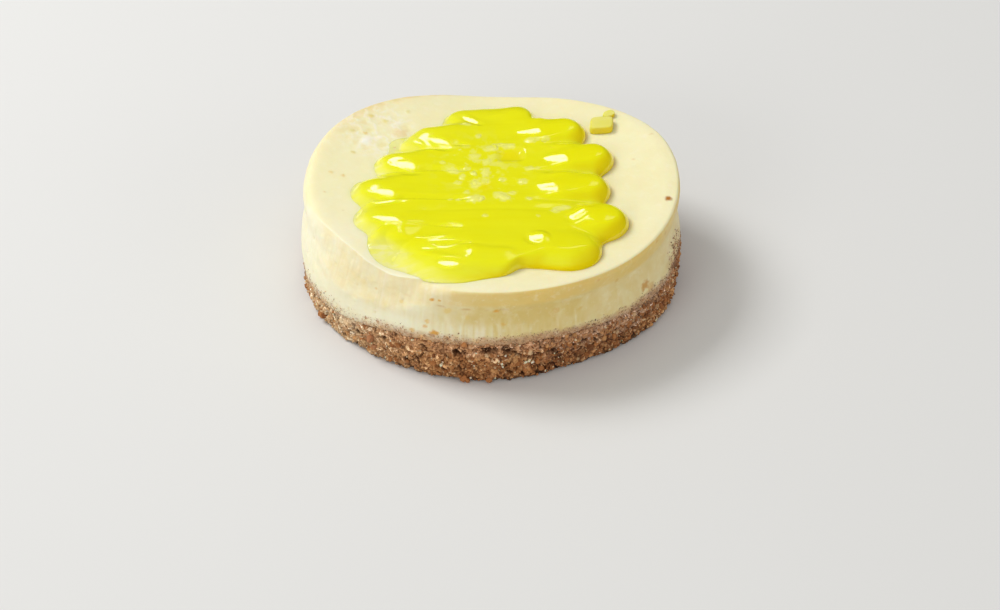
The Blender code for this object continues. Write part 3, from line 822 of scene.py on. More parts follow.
PITS = ((-99.9, 7.1, 0.75), (-91.3, 7.9, 0.85), (-88.6, 8.2, 0.6), (-85.0, 7.8, 0.75), (-83.0, 7.3, 0.5), (-118.0, 5.0, 0.6),
        (-134.0, 4.2, 0.7), (-104.0, 3.0, 0.4), (-72.0, 4.2, 0.5), (-47.0, 4.8, 0.7), (-30.0, 5.4, 0.7), (-150.0, 2.6, 0.6),
        (-157.0, 3.2, 0.5), (20.0, 5.0, 0.8), (48.0, 4.0, 0.6), (85.0, 5.5, 0.8), (120.0, 4.0, 0.7), (160.0, 3.0, 0.6))


def crumb_relief(p, az, z, arc):
    """Height of the pressed crumb's surface in mm, and how deep its hollows are, 0 to 1."""
    lumps = 0.50 * fractal(p / 3.2, 2)
    f1, f2, v = cells(p / 1.6)
    d = 0.40 * (0.25 + v) * (1.0 - np.minimum(f1 / 0.75, 1.0) ** 2)
    g1, g2, w = cells(p / 0.74 + 7.0)
    d += 0.26 * (0.2 + w) * (1.0 - np.minimum(g1 / 0.7, 1.0) ** 2)
    d += 0.08 * perlin(p / 0.35)
    gaps = smooth((0.16 - (f2 - f1)) / 0.16) * smooth(0.35 + 2.4 * perlin(p / 2.4 + 9.0))
    caves = smooth((fractal(p / 1.7 + 23.0, 3) - 0.24) / 0.22)
    d -= 0.28 * gaps + 0.55 * caves
    hollow = 0.8 * gaps + 0.8 * caves + 0.5 * smooth((0.13 - (g2 - g1)) / 0.13)
    for at, height, size in PITS:
        mid = np.array([39.5 * math.cos(math.radians(at)), 39.5 * math.sin(math.radians(at)), height])
        away = np.linalg.norm((p - mid) * (1.0, 1.0, 1.25), axis=1) / size + 0.55 * perlin(p / 0.7)
        pit = smooth((1.6 - away) / 0.5)
        d -= 1.7 * pit
        hollow += 1.8 * pit
    course = np.interp(az, [-84.0, -78.0, -72.0, -66.0, -60.0, -54.0], [6.6, 5.7, 5.9, 5.3, 5.6, 6.0], left=60.0, right=60.0)
    crack = np.exp(-((z - course - 0.35 * perlin(np.stack([arc / 1.3, arc * 0, arc * 0 + 3.0], axis=1))) / 0.36) ** 2)
    far = np.interp(az, [-52.0, -45.0, -38.0, -30.0], [5.0, 4.4, 4.8, 4.2], left=60.0, right=60.0)
    crack = np.maximum(crack, 0.6 * np.exp(-((z - far) / 0.2) ** 2))
    crack = crack * smooth(0.55 + 1.5 * perlin(np.stack([arc / 2.0, arc * 0 + 1.0, arc * 0 + 3.0], axis=1)))
    d -= 0.95 * crack
    hollow += crack
    return d + lumps, np.clip(hollow, 0.0, 1.0), v, w


def crumb_piece(material, around=1400):
    azimuth = 360.0 * np.arange(around) / around - 180.0
    a = np.radians(azimuth)
    rows = []

    def row(r, z):
        rows.append(np.stack([r * np.cos(a), r * np.sin(a), np.broadcast_to(z, r.shape)], axis=1))

    foot = wall_radius(azimuth, 0.0)
    for share in (0.3, 0.55, 0.74, 0.87, 0.93):
        row((foot - 0.9) * share, 0.0)
    row(foot - 1.15, 0.0)
    edge = crumb_line(azimuth) + 0.2
    side_rows = 54
    for t in np.linspace(0.0, 1.0, side_rows):
        z = 0.15 + (edge - 0.15) * t
        row(wall_radius(azimuth, z) - 0.30 - 0.60 * (1.0 - np.minimum(z / 1.1, 1.0)) ** 2, z)
    first_side, last_side = 6, len(rows)
    for inset, drop in ((0.9, -0.25), (2.0, 0.6), (6.0, 1.2)):
        row(wall_radius(azimuth, edge) - inset, edge - drop - 0.2)
    row(wall_radius(azimuth, edge) * 0.4, edge * 0 + 6.0)
    grid = np.stack(rows)
    normal = ring_normals(grid)
    rings = len(rows)
    p, n = grid.reshape(-1, 3), normal.reshape(-1, 3)
    az = np.tile(azimuth, rings)
    z = p[:, 2]
    arc = np.radians(az) * 39.5
    number = np.repeat(np.arange(rings), around)
    side = ((number >= first_side) & (number < last_side)).astype(float)
    d, hollow, clump, bit = crumb_relief(p, az, z, arc)
    cover = crumb_cover(az, z)
    line = np.tile(edge, rings)
    fade = smooth((line - z) / 1.1 + 0.12)
    fade *= smooth(z / 0.4 + 0.25) * (0.35 + 0.65 * smooth((cover - 0.2) / 0.5))
    amount = side * fade
    # the crumb layer thins out against the filling at its upper edge
    q = p + n * (amount * (d - 0.05))[:, None]
    inward = (side * (1.0 - smooth((line - z) / 1.0)) * 0.25)
    radial = np.stack([np.cos(np.radians(az)), np.sin(np.radians(az)), np.zeros_like(az)], axis=1)
    q = q - radial * inward[:, None]
    under = number < first_side
    q[under, 2] += np.maximum(0.12 * fractal(p[under] / 1.7, 2) - 0.02, 0.0)
    hollow_under = smooth(0.2 + 2.0 * fractal(p / 1.7, 2))
    q[:, 2] = np.maximum(q[:, 2], 0.0)

    slow = fractal(p / 7.0 + 3.0, 2)
    fine = perlin(p / 1.1 + 5.0)
    c = tone(CRUMB_MID, CRUMB_GOLD, smooth(0.35 + 1.2 * slow + 0.6 * fine))
    c = tone(c, CRUMB_DARK, smooth(0.10 + 1.3 * fractal(p / 2.6 + 40.0, 2)) * 0.8)
    c = tone(c, np.array(CRUMB_GOLD) * 1.12, smooth((clump - 0.62) / 0.15) * 0.55)
    c = tone(c, CRUMB_DARK, smooth((0.28 - clump) / 0.12) * 0.5)
    c = tone(c, (0.76, 0.45, 0.19), smooth((bit - 0.74) / 0.1) * 0.55)
    c = tone(c, (0.30, 0.11, 0.035), smooth((0.22 - bit) / 0.1) * 0.5)
    reddish = smooth((z - np.interp(az, *zip(*BROWN_LINE)) + 1.9) / 1.2) * bell(az, -90.0, 50.0)
    c = tone(c, (0.70, 0.37, 0.18), reddish * side * 0.8)
    c = tone(c, (0.94, 0.71, 0.42), np.clip(bell(az, -152.0, 26.0) + bell(az, 178.0, 20.0), 0.0, 1.0) * 0.85)
    c = tone(c, (0.66, 0.44, 0.29), bell(az, -42.0, 26.0) * 0.55 * smooth((z - 2.5) / 2.0))
    c = tone(c, (0.36, 0.12, 0.03), bell(az, -85.0, 13.0) * 0.3 * smooth((5.5 - z) / 1.5))
    c = tone(c, (0.27, 0.11, 0.045), bell(az, -56.0, 20.0) * 0.4 * smooth((5.2 - z) / 2.0))
    c = tone(c, (0.72, 0.33, 0.10), bell(az, -114.0, 15.0) * 0.35)
    # painted shadow along the foot, where the cake meets the floor, deepest at the front right
    c = tone(c, (0.09, 0.038, 0.015), smooth((1.25 - z) / 0.9) * side * (0.45 + 0.45 * bell(az, -65.0, 40.0)))
    # painted shade: darker in the hollows, gaps, pits and cracks, and on the underside
    shade = np.where(under, 0.35 * hollow_under, hollow * np.clip(1.7 * amount, 0.3, 1.0))
    cover = cover ** (1.0 + 1.6 * bell(az, -150.0, 28.0) + 0.8 * bell(az, -38.0, 24.0))
    cover = np.maximum(cover, smooth((hollow - 0.72) / 0.2) * smooth((cover - 0.12) / 0.2))
    verts = np.concatenate([[[0.0, 0.0, 0.0], [0.0, 0.0, 6.0]], q])
    pad = lambda v, s: np.concatenate([[s, s], v])
    return new_object("crumb_layer", verts, loft_faces(rings, around), material, ("crumb_base",),
                      {"tint": np.concatenate([[CRUMB_MID, CRUMB_MID], c]), "hollow": pad(shade, 0.0),
                       "cover": pad(np.where(side > 0, cover, 1.0), 1.0),
                       "film": np.concatenate([[FILM_PALE, FILM_PALE], film_colour(az, z)])})


def scatter(name, places, normals, sizes, colours, material, steps, rough, seed, flat=True, sink=0.25):
    """One joined mesh of irregular grains, each with its own shape, size and colour."""
    rng = np.random.default_rng(seed)
    pts, tris = icosphere(steps)
    count = len(places)
    shape = pts[None] * (1.0 + rough * rng.uniform(-1.0, 1.0, (count, len(pts), 1)))
    shape = shape * rng.uniform(0.6, 1.15, (count, 1, 3))
    shape = np.einsum("nij,nkj->nki", rotations(rng, count), shape) * sizes[:, None, None]
    centre = places + normals * (sizes * (0.5 - sink))[:, None]
    verts = (shape + centre[:, None, :]).reshape(-1, 3)
    verts[:, 2] = np.maximum(verts[:, 2], 0.02)
    faces = (tris[None] + (np.arange(count) * len(pts))[:, None, None]).reshape(-1, 3)
    tint = np.repeat(colours, len(pts), axis=0)
    return new_object(name, verts, faces, material, (), {"tint": tint}, flat)


def side_points(rng, count, low, high):
    """Random points on the cake's side between two heights given as functions of azimuth."""
    az = rng.uniform(-180.0, 180.0, count)
    t = rng.random(count)
    z = low(az) + (high(az) - low(az)) * t
    r = wall_radius(az, z)
    a = np.radians(az)
    radial = np.stack([np.cos(a), np.sin(a), np.zeros_like(a)], axis=1)
    return az, z, radial * r[:, None] + np.array([0.0, 0.0, 1.0]) * z[:, None], radial


def grain_colours(rng, count):
    """Mostly reddish brown, some dark, some golden, a few pale."""
    pick = rng.random(count)
    c = tone((0.36, 0.135, 0.040), (0.52, 0.22, 0.075), rng.random(count))
    c = tone(c, (0.18, 0.062, 0.020), ((pick > 0.48) & (pick < 0.62)).astype(float) * 0.75)
    c = tone(c, (0.66, 0.35, 0.14), ((pick >= 0.65) & (pick < 0.88)).astype(float) * 0.85)
    c = tone(c, (0.80, 0.58, 0.34), (pick >= 0.93).astype(float) * rng.uniform(0.5, 1.0, count))
    return c * rng.uniform(0.85, 1.12, (count, 1))


def crumb_scatter():
    crumbs = grain_material("loose_crumb_look", 0.82).material
    rng = np.random.default_rng(5)
    # small grains pressed into the side
    az, z, at, radial = side_points(rng, 8200, lambda a: a * 0 + 0.45, lambda a: crumb_edge(a) + 0.2)
    relief, hollow = crumb_relief(at, az, z, np.radians(az) * 39.5)[:2]
    cover = crumb_cover(az, z)
    keep = ((hollow < 0.45) | ((rng.random(len(az)) < 0.3) & (hollow < 0.7))) & (
        rng.random(len(az)) < cover ** (1.6 + 3.0 * bell(az, -150.0, 28.0) + 1.6 * bell(az, -38.0, 24.0)))
    sizes = rng.uniform(0.13, 0.36, len(az)) * np.where(rng.random(len(az)) < 0.10, 1.35, 1.0)
    place = at + radial * (np.clip(relief, -0.4, 1.0) - 0.38 - 0.35 * (1.0 - np.minimum(z / 1.1, 1.0)) ** 2)[:, None]
    tints = grain_colours(rng, len(az))
    tints = tone(tints, (0.80, 0.60, 0.35), (bell(az, -150.0, 22.0) * 0.65))
    high = smooth((z - np.interp(az, *zip(*BROWN_LINE)) + 2.0) / 1.4) * bell(az, -88.0, 52.0)
    tints = tone(tints, (0.68, 0.37, 0.19), high * rng.uniform(0.3, 0.9, len(az)))
    tints = tone(tints, (0.27, 0.11, 0.045), bell(az, -56.0, 20.0) * 0.35 * smooth((5.2 - z) / 2.0))
    scatter("small_crumbs", place[keep], radial[keep], sizes[keep], tints[keep], crumbs, 0, 0.26, 11, sink=0.35)
    # bigger crumbs, more of them along the foot and the upper edge
    az, z, at, radial = side_points(rng, 520, lambda a: a * 0 + 0.8, lambda a: crumb_edge(a) - 0.2)
    relief, hollow = crumb_relief(at, az, z, np.radians(az) * 39.5)[:2]
    keep = (hollow < 0.5) & (rng.random(len(az)) < crumb_cover(az, z) ** (2.0 + 3.0 * bell(az, -150.0, 28.0) + 2.0 * bell(az, -38.0, 24.0)))
    place = at + radial * (np.clip(relief, -0.3, 0.9) - 0.62)[:, None]
    sizes = rng.uniform(0.36, 0.80, len(az))
    places, outs = [place[keep]], [radial[keep]]
    radii, tints = [sizes[keep]], [grain_colours(rng, len(az))[keep]]
    extra = np.array([(-5.4, -38.9, 0.75, 0.85), (-4.6, -39.1, 0.35, 0.55), (-0.3, -39.3, 0.6, 0.75), (-6.2, -38.9, 1.4, 0.42),
                      (-24.3, -30.5, 4.5, 1.0), (-23.6, -31.2, 3.0, 0.6)])
    places.append(extra[:, :3])
    out = extra[:, :3] * (1.0, 1.0, 0.0)
    outs.append(out / np.linalg.norm(out, axis=1)[:, None])
    radii.append(extra[:, 3])
    tints.append(np.array([CRUMB_MID] * 4 + [(0.47, 0.21, 0.095)] * 2))
    scatter("large_crumbs", np.concatenate(places), np.concatenate(outs), np.concatenate(radii), np.concatenate(tints), crumbs,
            1, 0.20, 12, sink=0.45)
    # dust that clings to the foot of the filling and thins out upwards
    az = rng.uniform(-180.0, 180.0, 15000)
    top = np.interp(az, *zip(*FILM_TOP))
    brown = np.interp(az, *zip(*BROWN_LINE))
    z = brown + (top - brown + 0.8) * rng.random(len(az))
    patch = rng.random(len(az)) < 0.03
    az = np.where(patch, rng.normal(-14.0, 3.6, len(az)), az)
    z = np.where(patch, rng.uniform(9.0, 15.0, len(az)), z)
    chance = np.where(patch, np.clip((16.0 - z) / 7.0, 0.0, 1.0), 0.08 + 0.75 * crumb_cover(az, z) ** 0.8)
    keep = (rng.random(len(az)) < chance * 0.75) & (z > 1.0)
    r = wall_radius(az, z) - np.where(z < crumb_line(az), 0.30, 0.0)
    a = np.radians(az)
    radial = np.stack([np.cos(a), np.sin(a), np.zeros_like(a)], axis=1)
    at = radial * r[:, None] + np.array([0.0, 0.0, 1.0]) * z[:, None]
    sizes = rng.uniform(0.06, 0.14, len(az)) * np.where(rng.random(len(az)) < 0.05, 1.6, 1.0)
    tints = film_colour(az, z) * rng.uniform(0.35, 1.15, (len(az), 1))
    scatter("crumb_dust", at[keep], radial[keep], sizes[keep], tints[keep], crumbs, 0, 0.2, 13, sink=0.5)
    # pale sugar grains
    sugar = grain_material("sugar_grain_look", 0.3)
    sugar.shader.inputs["Subsurface Weight"].default_value = 0.3
    sugar.shader.inputs["Subsurface Scale"].default_value = 0.0003
    az, z, at, radial = side_points(rng, 420, lambda a: a * 0 + 0.8, lambda a: crumb_edge(a))
    relief, hollow = crumb_relief(at, az, z, np.radians(az) * 39.5)[:2]
    keep = (hollow < 0.4) & (rng.random(len(az)) < crumb_cover(az, z))
    place = at + radial * (np.clip(relief, -0.3, 1.0) - 0.34)[:, None]
    sizes = rng.uniform(0.12, 0.26, len(az)) * np.where(rng.random(len(az)) < 0.1, 1.5, 1.0)
    # a few that stand out: on the front, in a greenish white patch and a pair of pale ones
    at_front = np.array([(-79.6, 4.4, 0.5), (-78.4, 4.7, 0.4), (-77.4, 4.2, 0.45), (-85.6, 6.8, 0.35), (-86.6, 4.6, 0.3), (-86.4, 3.8, 0.3), (-104.6, 3.4, 0.45)])
    az2 = np.radians(at_front[:, 0])
    radial2 = np.stack([np.cos(az2), np.sin(az2), az2 * 0], axis=1)
    place2 = radial2 * (wall_radius(at_front[:, 0], at_front[:, 1]) - 0.05)[:, None] + np.array([0.0, 0.0, 1.0]) * at_front[:, 1:2]
    tints = tone((0.84, 0.67, 0.40), (0.92, 0.85, 0.66), rng.random(len(az)))
    tints2 = np.tile((0.90, 0.87, 0.66), (len(at_front), 1))
    scatter("sugar_grains", np.concatenate([place[keep], place2]), np.concatenate([radial[keep], radial2]),
            np.concatenate([sizes[keep], at_front[:, 2]]), np.concatenate([tints[keep], tints2]), sugar.material,
            0, 0.25, 14)


# ---------------------------------------------------------------- lemon gel
PULP_FLAKES = (
    (-3.5, 7.8, 0.9, 0.6, 20), (-10.0, 5.2, 0.45, 0.4, 0), (-7.9, 2.2, 1.3, 0.9, -20), (-5.0, 2.9, 0.6, 0.35, 30),
    (-5.9, -0.1, 0.9, 0.4, 80), (-3.0, -2.6, 1.3, 0.8, 75), (-3.2, -8.1, 1.4, 0.9, 10), (-8.3, -8.3, 0.35, 0.3, 0),
    (-6.7, -8.5, 0.35, 0.3, 0), (-6.8, -2.3, 0.6, 0.5, 20), (0.2, 10.9, 1.3, 0.8, 40), (3.2, 11.6, 1.7, 0.7, -5),
    (-1.0, 1.4, 1.3, 0.6, 80), (-1.2, -1.9, 1.0, 0.6, 70), (2.5, -7.4, 1.5, 0.9, -30), (4.4, -6.0, 0.8, 0.5, 30),
    (6.7, -1.9, 0.8, 0.6, 60), (8.0, 2.9, 0.8, 0.5, 20), (9.8, 3.1, 0.35, 0.3, 0), (8.3, 13.6, 0.9, 0.7, -30),
    (9.5, 13.6, 0.7, 0.5, 10), (11.4, 13.6, 0.7, 0.5, 60), (-1.1, -14.3, 0.4, 0.3, 0), (14.4, -11.4, 1.6, 0.6, 20),
    (13.3, -12.5, 0.7, 0.5, -10), (-18.9, -25.8, 1.9, 1.2, -15), (7.9, -8.0, 0.6, 0.35, 10),
    (9.7, -14.3, 0.3, 0.25, 0), (-5.3, 20.2, 0.9, 0.5, -10), (-2.7, 15.5, 0.6, 0.5, 30), (-0.6, 5.6, 1.0, 0.6, 60),
    (-4.9, -5.6, 0.5, 0.4, 0))


def pulp_places():
    """Where flakes of pulp lie in the gel: x, y, half length, half width, turn. The big ones, then small ones between."""
    rng = np.random.default_rng(31)
    found = [(x, y, long, wide, math.radians(turn)) for x, y, long, wide, turn in PULP_FLAKES]
    while len(found) < len(PULP_FLAKES) + 4:
        x, y = rng.normal(-2.5, 4.2), rng.normal(5.0, 6.5)
        long = rng.uniform(0.28, 0.7)
        if all(math.hypot(x - f[0], y - f[1]) > 0.9 + 0.8 * f[2] for f in found):
            found.append((x, y, long, long * rng.uniform(0.5, 0.85), rng.uniform(0.0, math.pi)))
    return np.array(found)


PULP = pulp_places()


# The piped rows as soft bodies inside the gel's outline: left end x, y and radius, right end x, y and
# radius, height at the left, in the middle and at the right, where the right end swells, where its
# grooves open, and how much wider the row is in its middle.
GEL_BODIES = (
    ((-5.2, 23.2, 4.2), (4.9, 24.2, 4.8), (1.7, 2.4, 2.9), 1.5, -2.0, 0.0),
    ((-12.6, 15.2, 4.6), (15.2, 18.1, 5.5), (1.8, 2.6, 3.2), 8.3, 10.5, 1.0),
    ((-19.4, 5.1, 4.8), (20.7, 7.8, 5.5), (1.9, 2.7, 3.3), 13.5, 14.0, 1.1),
    ((-23.3, -4.4, 4.9), (19.8, -2.8, 5.4), (1.9, 2.75, 3.3), 11.7, 14.0, 1.1),
    ((-22.6, -14.0, 4.7), (22.6, -14.5, 6.0), (1.8, 2.7, 3.4), 17.8, 13.5, 1.1),
    ((-15.6, -18.8, 3.8), (15.4, -23.3, 6.9), (2.5, 2.55, 2.9), 9.4, 8.5, 2.2),
    ((-13.2, -27.6, 4.2), (3.6, -26.4, 5.0), (1.7, 2.05, 1.75), -2.0, -9.0, 0.9),
)


# Smooth patches of the gel's skin that face the window: x, y, half length and half width of the bright
# part, turn, how steeply the patch rises along x and y, and how far it reaches beyond.
SKIN_PATCHES = (
    (-11.1, 13.4, 1.85, 0.50, -38, 0.101, 0.090, 1.5), (-17.9, 4.2, 2.05, 0.85, -38, 0.084, 0.083, 1.0),
    (-21.7, -6.0, 1.75, 0.68, -38, 0.073, 0.072, 0.9), (-20.8, -15.5, 1.80, 0.62, -25, 0.074, 0.064, 0.8),
    (-4.4, 22.3, 1.70, 0.36, -42, 0.117, 0.099, 0.5), (17.9, -13.9, 1.20, 0.34, 48, 0.165, 0.069, 1.0),
    (9.4, -22.4, 0.90, 0.85, -10, 0.143, 0.061, 0.8), (-8.2, -30.6, 1.50, 0.55, -14, 0.101, 0.052, 0.5))


def gel_surface(x, y):
    """Thickness of the gel in mm with the smooth patches that catch the window and the bumps over its pulp."""
    t, body, depth = gel_body(x, y)
    for n, (px, py, long, wide, turn, rise_x, rise_y, more) in enumerate(SKIN_PATCHES):
        turn = math.radians(turn)
        u = (x - px) * math.cos(turn) + (y - py) * math.sin(turn)
        v = -(x - px) * math.sin(turn) + (y - py) * math.cos(turn)
        plane = PATCH_HEIGHTS[n] + rise_x * (x - px) + rise_y * (y - py) - 0.013 * (u * u / long + v * v / wide)
        share = smooth(1.75 - np.hypot(u / (1.1 * long + more), v / (1.1 * wide + more)))
        t = mix(t, plane - top_height(x, y), share * smooth(depth / 0.9))
    rough = 1.0 + 1.1 * perlin(np.stack([x / 0.8, y / 0.8, x * 0 + 5.0], axis=1))
    for px, py, long, wide, turn in PULP:
        u = (x - px) * math.cos(turn) + (y - py) * math.sin(turn)
        v = -(x - px) * math.sin(turn) + (y - py) * math.cos(turn)
        near = np.exp(-(((u / (long * 1.1)) ** 2 + (v / (wide * 1.2)) ** 2) ** 1.2))
        t = t + 0.12 * wide ** 0.6 * near * body * rough
    pool = np.exp(-(((x - 4.1) / 2.7) ** 6 + ((y - 8.3) / 2.2) ** 6))
    return np.where(depth > 0.0, t - 0.35 * pool * body, 0.0)


def gel_body(x, y):
    """Thickness of the gel in mm with its rows, streaks and dents, then how full it is and how far inside."""
    depth = gel_field(x, y)[0]
    # which way the nearest part of the outline faces; the gel thins out gently to the front left
    step = 0.05
    ox = gel_field(x - step, y)[0] - gel_field(x + step, y)[0]
    oy = gel_field(x, y - step)[0] - gel_field(x, y + step)[0]
    size = np.maximum(np.hypot(ox, oy), 1e-6)
    ox, oy = ox / size, oy / size
    feather = smooth((0.15 - 0.62 * ox - 0.78 * oy) / 0.8) * (1.0 - smooth((x + 9.0) / 12.0))
    slope = smooth((-oy - 0.1) / 0.7) * smooth((-20.5 - y) / 5.0) * (1.0 - np.exp(-((x - 5.2) / 3.6) ** 2))
    tops, inside, crests, flats = [], [], [], []
    for (ax, ay, ar), (bx, by, br), (left, middle, right), swell, until, spread in GEL_BODIES:
        dx, dy = bx - ax, by - ay
        u = np.clip(((x - ax) * dx + (y - ay) * dy) / (dx * dx + dy * dy), 0.0, 1.0)
        radius = ar + (br - ar) * u + spread * 4.0 * u * (1.0 - u)
        px, py = x - ax - dx * u, y - ay - dy * u
        away = np.hypot(px, py)
        # each row stands steep at the back and runs out gently to the front, under the next one
        front = smooth(0.55 - py / (0.9 * radius)) if ay > -25.0 else np.full_like(x, 0.9)
        share = np.clip(1.0 - away / (radius * (1.0 + 0.55 * front) + 0.7 * (1.0 - front)), 0.0, 1.0)
        facing = np.clip(0.45 - (0.8 * py + 0.5 * px) / radius, 0.0, 1.0)
        thin = (1.0 - smooth((x - ax - 1.0) / 7.0)) * facing
        blunt = 1.0 - smooth((x - ax - 3.5) / 7.0)
        steep = np.sqrt(1.0 - (1.0 - share) ** (2.3 + 1.0 * blunt))
        slack = (1.0 - (1.0 - share) ** (2.2 + 0.9 * blunt)) ** (0.62 + 0.2 * thin)
        thin = np.maximum(thin, 0.9 * front)
        crest = middle - (middle - left) * (1.0 - np.clip((x - ax + 3.0) / 9.5, 0.0, 1.0)) ** 2
        crest = crest + (right - middle) * smooth((x - swell - 0.55 * np.abs(py) + 4.0) / 6.6)
        tops.append(crest * mix(steep, slack, thin))
        crests.append(crest)
        inside.append(radius - away)
        flats.append(smooth((x - ax - (1.5 if ay > -18.0 else -5.0)) / 7.0) * (1.0 - smooth((x - until) / 6.5)))
    tops, crests, inside, flats = (np.stack(v) for v in (tops, crests, inside, flats))
    best = inside.max(axis=0)
    second = np.sort(inside, axis=0)[-2]
    weights = np.exp((inside - best) / 1.2)
    weights /= weights.sum(axis=0)
    flat, crest = (weights * flats).sum(axis=0), (weights * crests).sum(axis=0)
    k = 0.42 + 0.14 * flat - 0.20 * smooth((x - 7.0) / 6.0) + 0.75 * smooth((-18.0 - y) / 4.0) * (1.0 - smooth((x - 6.0) / 6.0))
    h = k * np.log(1.0 + (np.exp(tops / k) - 1.0).sum(axis=0))
    level = crest * 1.03 + 0.12 * (h - crest)
    h = mix(h, level, flat * smooth((second + 3.6) / 3.2))
    e = np.clip(depth / (1.0 + 1.7 * smooth((x - 2.0) / 12.0) + 2.1 * feather + 2.4 * slope - 0.5 * np.exp(-((x - 5.2) / 3.0) ** 2 - ((y + 26.0) / 4.5) ** 2)), 0.0, 1.0)
    h = h * (1.0 - (1.0 - e) ** 2) ** (0.5 + 0.45 * feather + 0.12 * slope)
    e = np.clip(depth / 0.55, 0.0, 1.0)
    film = (0.26 - 0.19 * feather) * np.sqrt(1.0 - (1.0 - e) ** 2) + 0.11 * np.clip(depth, 0.0, 4.0)
    film = film * (1.0 - 0.6 * np.exp(-((x + 19.0) / 4.0) ** 2 - ((y - 13.8) / 4.0) ** 2))
    soft = 0.1 + 0.28 * np.exp(-(((x + 20.5) / 5.0) ** 2 + ((y + 23.5) / 6.0) ** 2))
    t = soft * np.log(np.exp(film / soft) + np.exp(h / soft) - 1.0)
    body = smooth(t / 1.4)
    at = np.stack([x / 12.0, y / 0.8, x * 0 + 2.0], axis=1)
    t = t + body * (1.0 - 0.75 * smooth((x - 4.0) / 6.0)) * (0.011 * perlin(at) + 0.005 * perlin(at * (1.7, 2.3, 1.0) + 4.0))
    t = t + body * 0.09 * fractal(np.stack([x / 9.0, y / 6.0, x * 0], axis=1), 2)
    return t, body, depth


PATCH_HEIGHTS = [float((top_height(np.array([g[0]]), np.array([g[1]])) + gel_body(np.array([g[0]]), np.array([g[1]]))[0])[0])
                 for g in SKIN_PATCHES]


def gel_colour_fields(x, y, t, normal):
    # amber: faces turned to the right and front, away from the key lamp, painted amber as shade, partly the deeper
    # colour of gel seen through its thickness; two amber pools besides
    rightward = normal[:, 0] * 0.80 - normal[:, 1] * 0.62
    rise = smooth((x - 4.0) / 10.0) + 0.55 * smooth((x + 12.0) / 14.0) * smooth((-22.0 - y) / 5.0)
    rise = np.clip(rise, 0.0, 1.0)
    amber = smooth((rightward - 0.16) / 0.55) * rise * smooth((t + 0.3) / 0.6)
    pool = np.exp(-(((x - 4.1) / 2.6) ** 4 + ((y - 8.3) / 2.1) ** 4)) + np.exp(-(((x + 0.9) / 1.6) ** 2 + ((y + 3.7) / 1.6) ** 2))
    amber = np.clip(0.75 * amber + 0.42 * pool + 0.8 * rise * smooth((1.1 - t) / 0.8) * smooth((rightward + 0.1) / 0.2), 0.0, 1.0)
    # pale where pulp lies in it
    at = np.stack([x, y, x * 0 + 3.0], axis=1)
    warp, cloud = perlin(at / 0.9), fractal(at / 1.9 + 6.0, 3)
    milky_and_lit = np.zeros_like(x)
    for px, py, long, wide, turn in PULP:
        u = (x - px) * math.cos(turn) + (y - py) * math.sin(turn)
        v = -(x - px) * math.sin(turn) + (y - py) * math.cos(turn)
        away = np.hypot(u / (long * 1.25 + 0.15), v / (wide * 1.35 + 0.15)) + 0.7 * warp
        milky_and_lit = np.maximum(milky_and_lit, smooth((1.25 - away) / 0.6) * (0.45 + 0.4 * min(long, 1.2)))
    zone = np.exp(-((x + 2.5) / 7.0) ** 2 - ((y - 4.5) / 8.0) ** 2)
    milky_and_lit = np.maximum(milky_and_lit, 0.75 * smooth((cloud + 0.02) / 0.3) * zone)
    # colour depth: the thickness, pushed deeper on the thin right edges as painted shade and paler over the left ends
    # as painted light
    return amber, np.clip(milky_and_lit, 0.0, 1.0) * (1.0 - 0.8 * np.clip(pool, 0.0, 1.0)), t + 1.5 * rise * smooth((1.8 - t) / 1.5) - 0.62 * t * smooth((-8.0 - x) / 8.0) * smooth((2.3 - t) / 1.3)


def gel_piece(material, around=760):
    cx, cy = GEL_MIDDLE
    angle = 2.0 * math.pi * np.arange(around) / around
    reach = gel_reach(angle)
    ux, uy = np.cos(angle), np.sin(angle)
    rows, thick = [], []

    def row(share, lift, drop=0.0):
        x, y = cx + ux * reach * share, cy + uy * reach * share
        t = gel_surface(x, y) if lift else np.zeros_like(x)
        rows.append(np.stack([x, y, top_height(x, y) + t - drop], axis=1))
        thick.append(t)

    for share in (0.3, 0.6, 0.85, 0.97):
        row(share, False, 1.2)
    row(0.995, False, 1.0)
    row(1.0, False, 0.0)
    for u in np.linspace(0.0, 1.0, 122)[1:-1]:
        row(1.0 - (u ** 1.35) * 1.0, True)
    grid = np.stack(rows)
    normal = ring_normals(grid).reshape(-1, 3)
    p = grid.reshape(-1, 3)
    t = np.concatenate(thick)
    amber, milky_and_lit, depth = gel_colour_fields(p[:, 0], p[:, 1], t, normal)
    mid = gel_surface(np.array([cx]), np.array([cy]))[0]
    floor = float(top_height(cx, cy))
    verts = np.concatenate([[[cx, cy, floor - 1.2], [cx, cy, floor + mid]], p])
    pad = lambda v, s: np.concatenate([[s, s], v])
    return new_object("gel_rows", verts, loft_faces(len(rows), around), material, ("lemon_gel",),
                      {"depth": pad(depth, mid), "amber": pad(amber, 0.0), "milky_and_lit": pad(milky_and_lit, 0.0)})


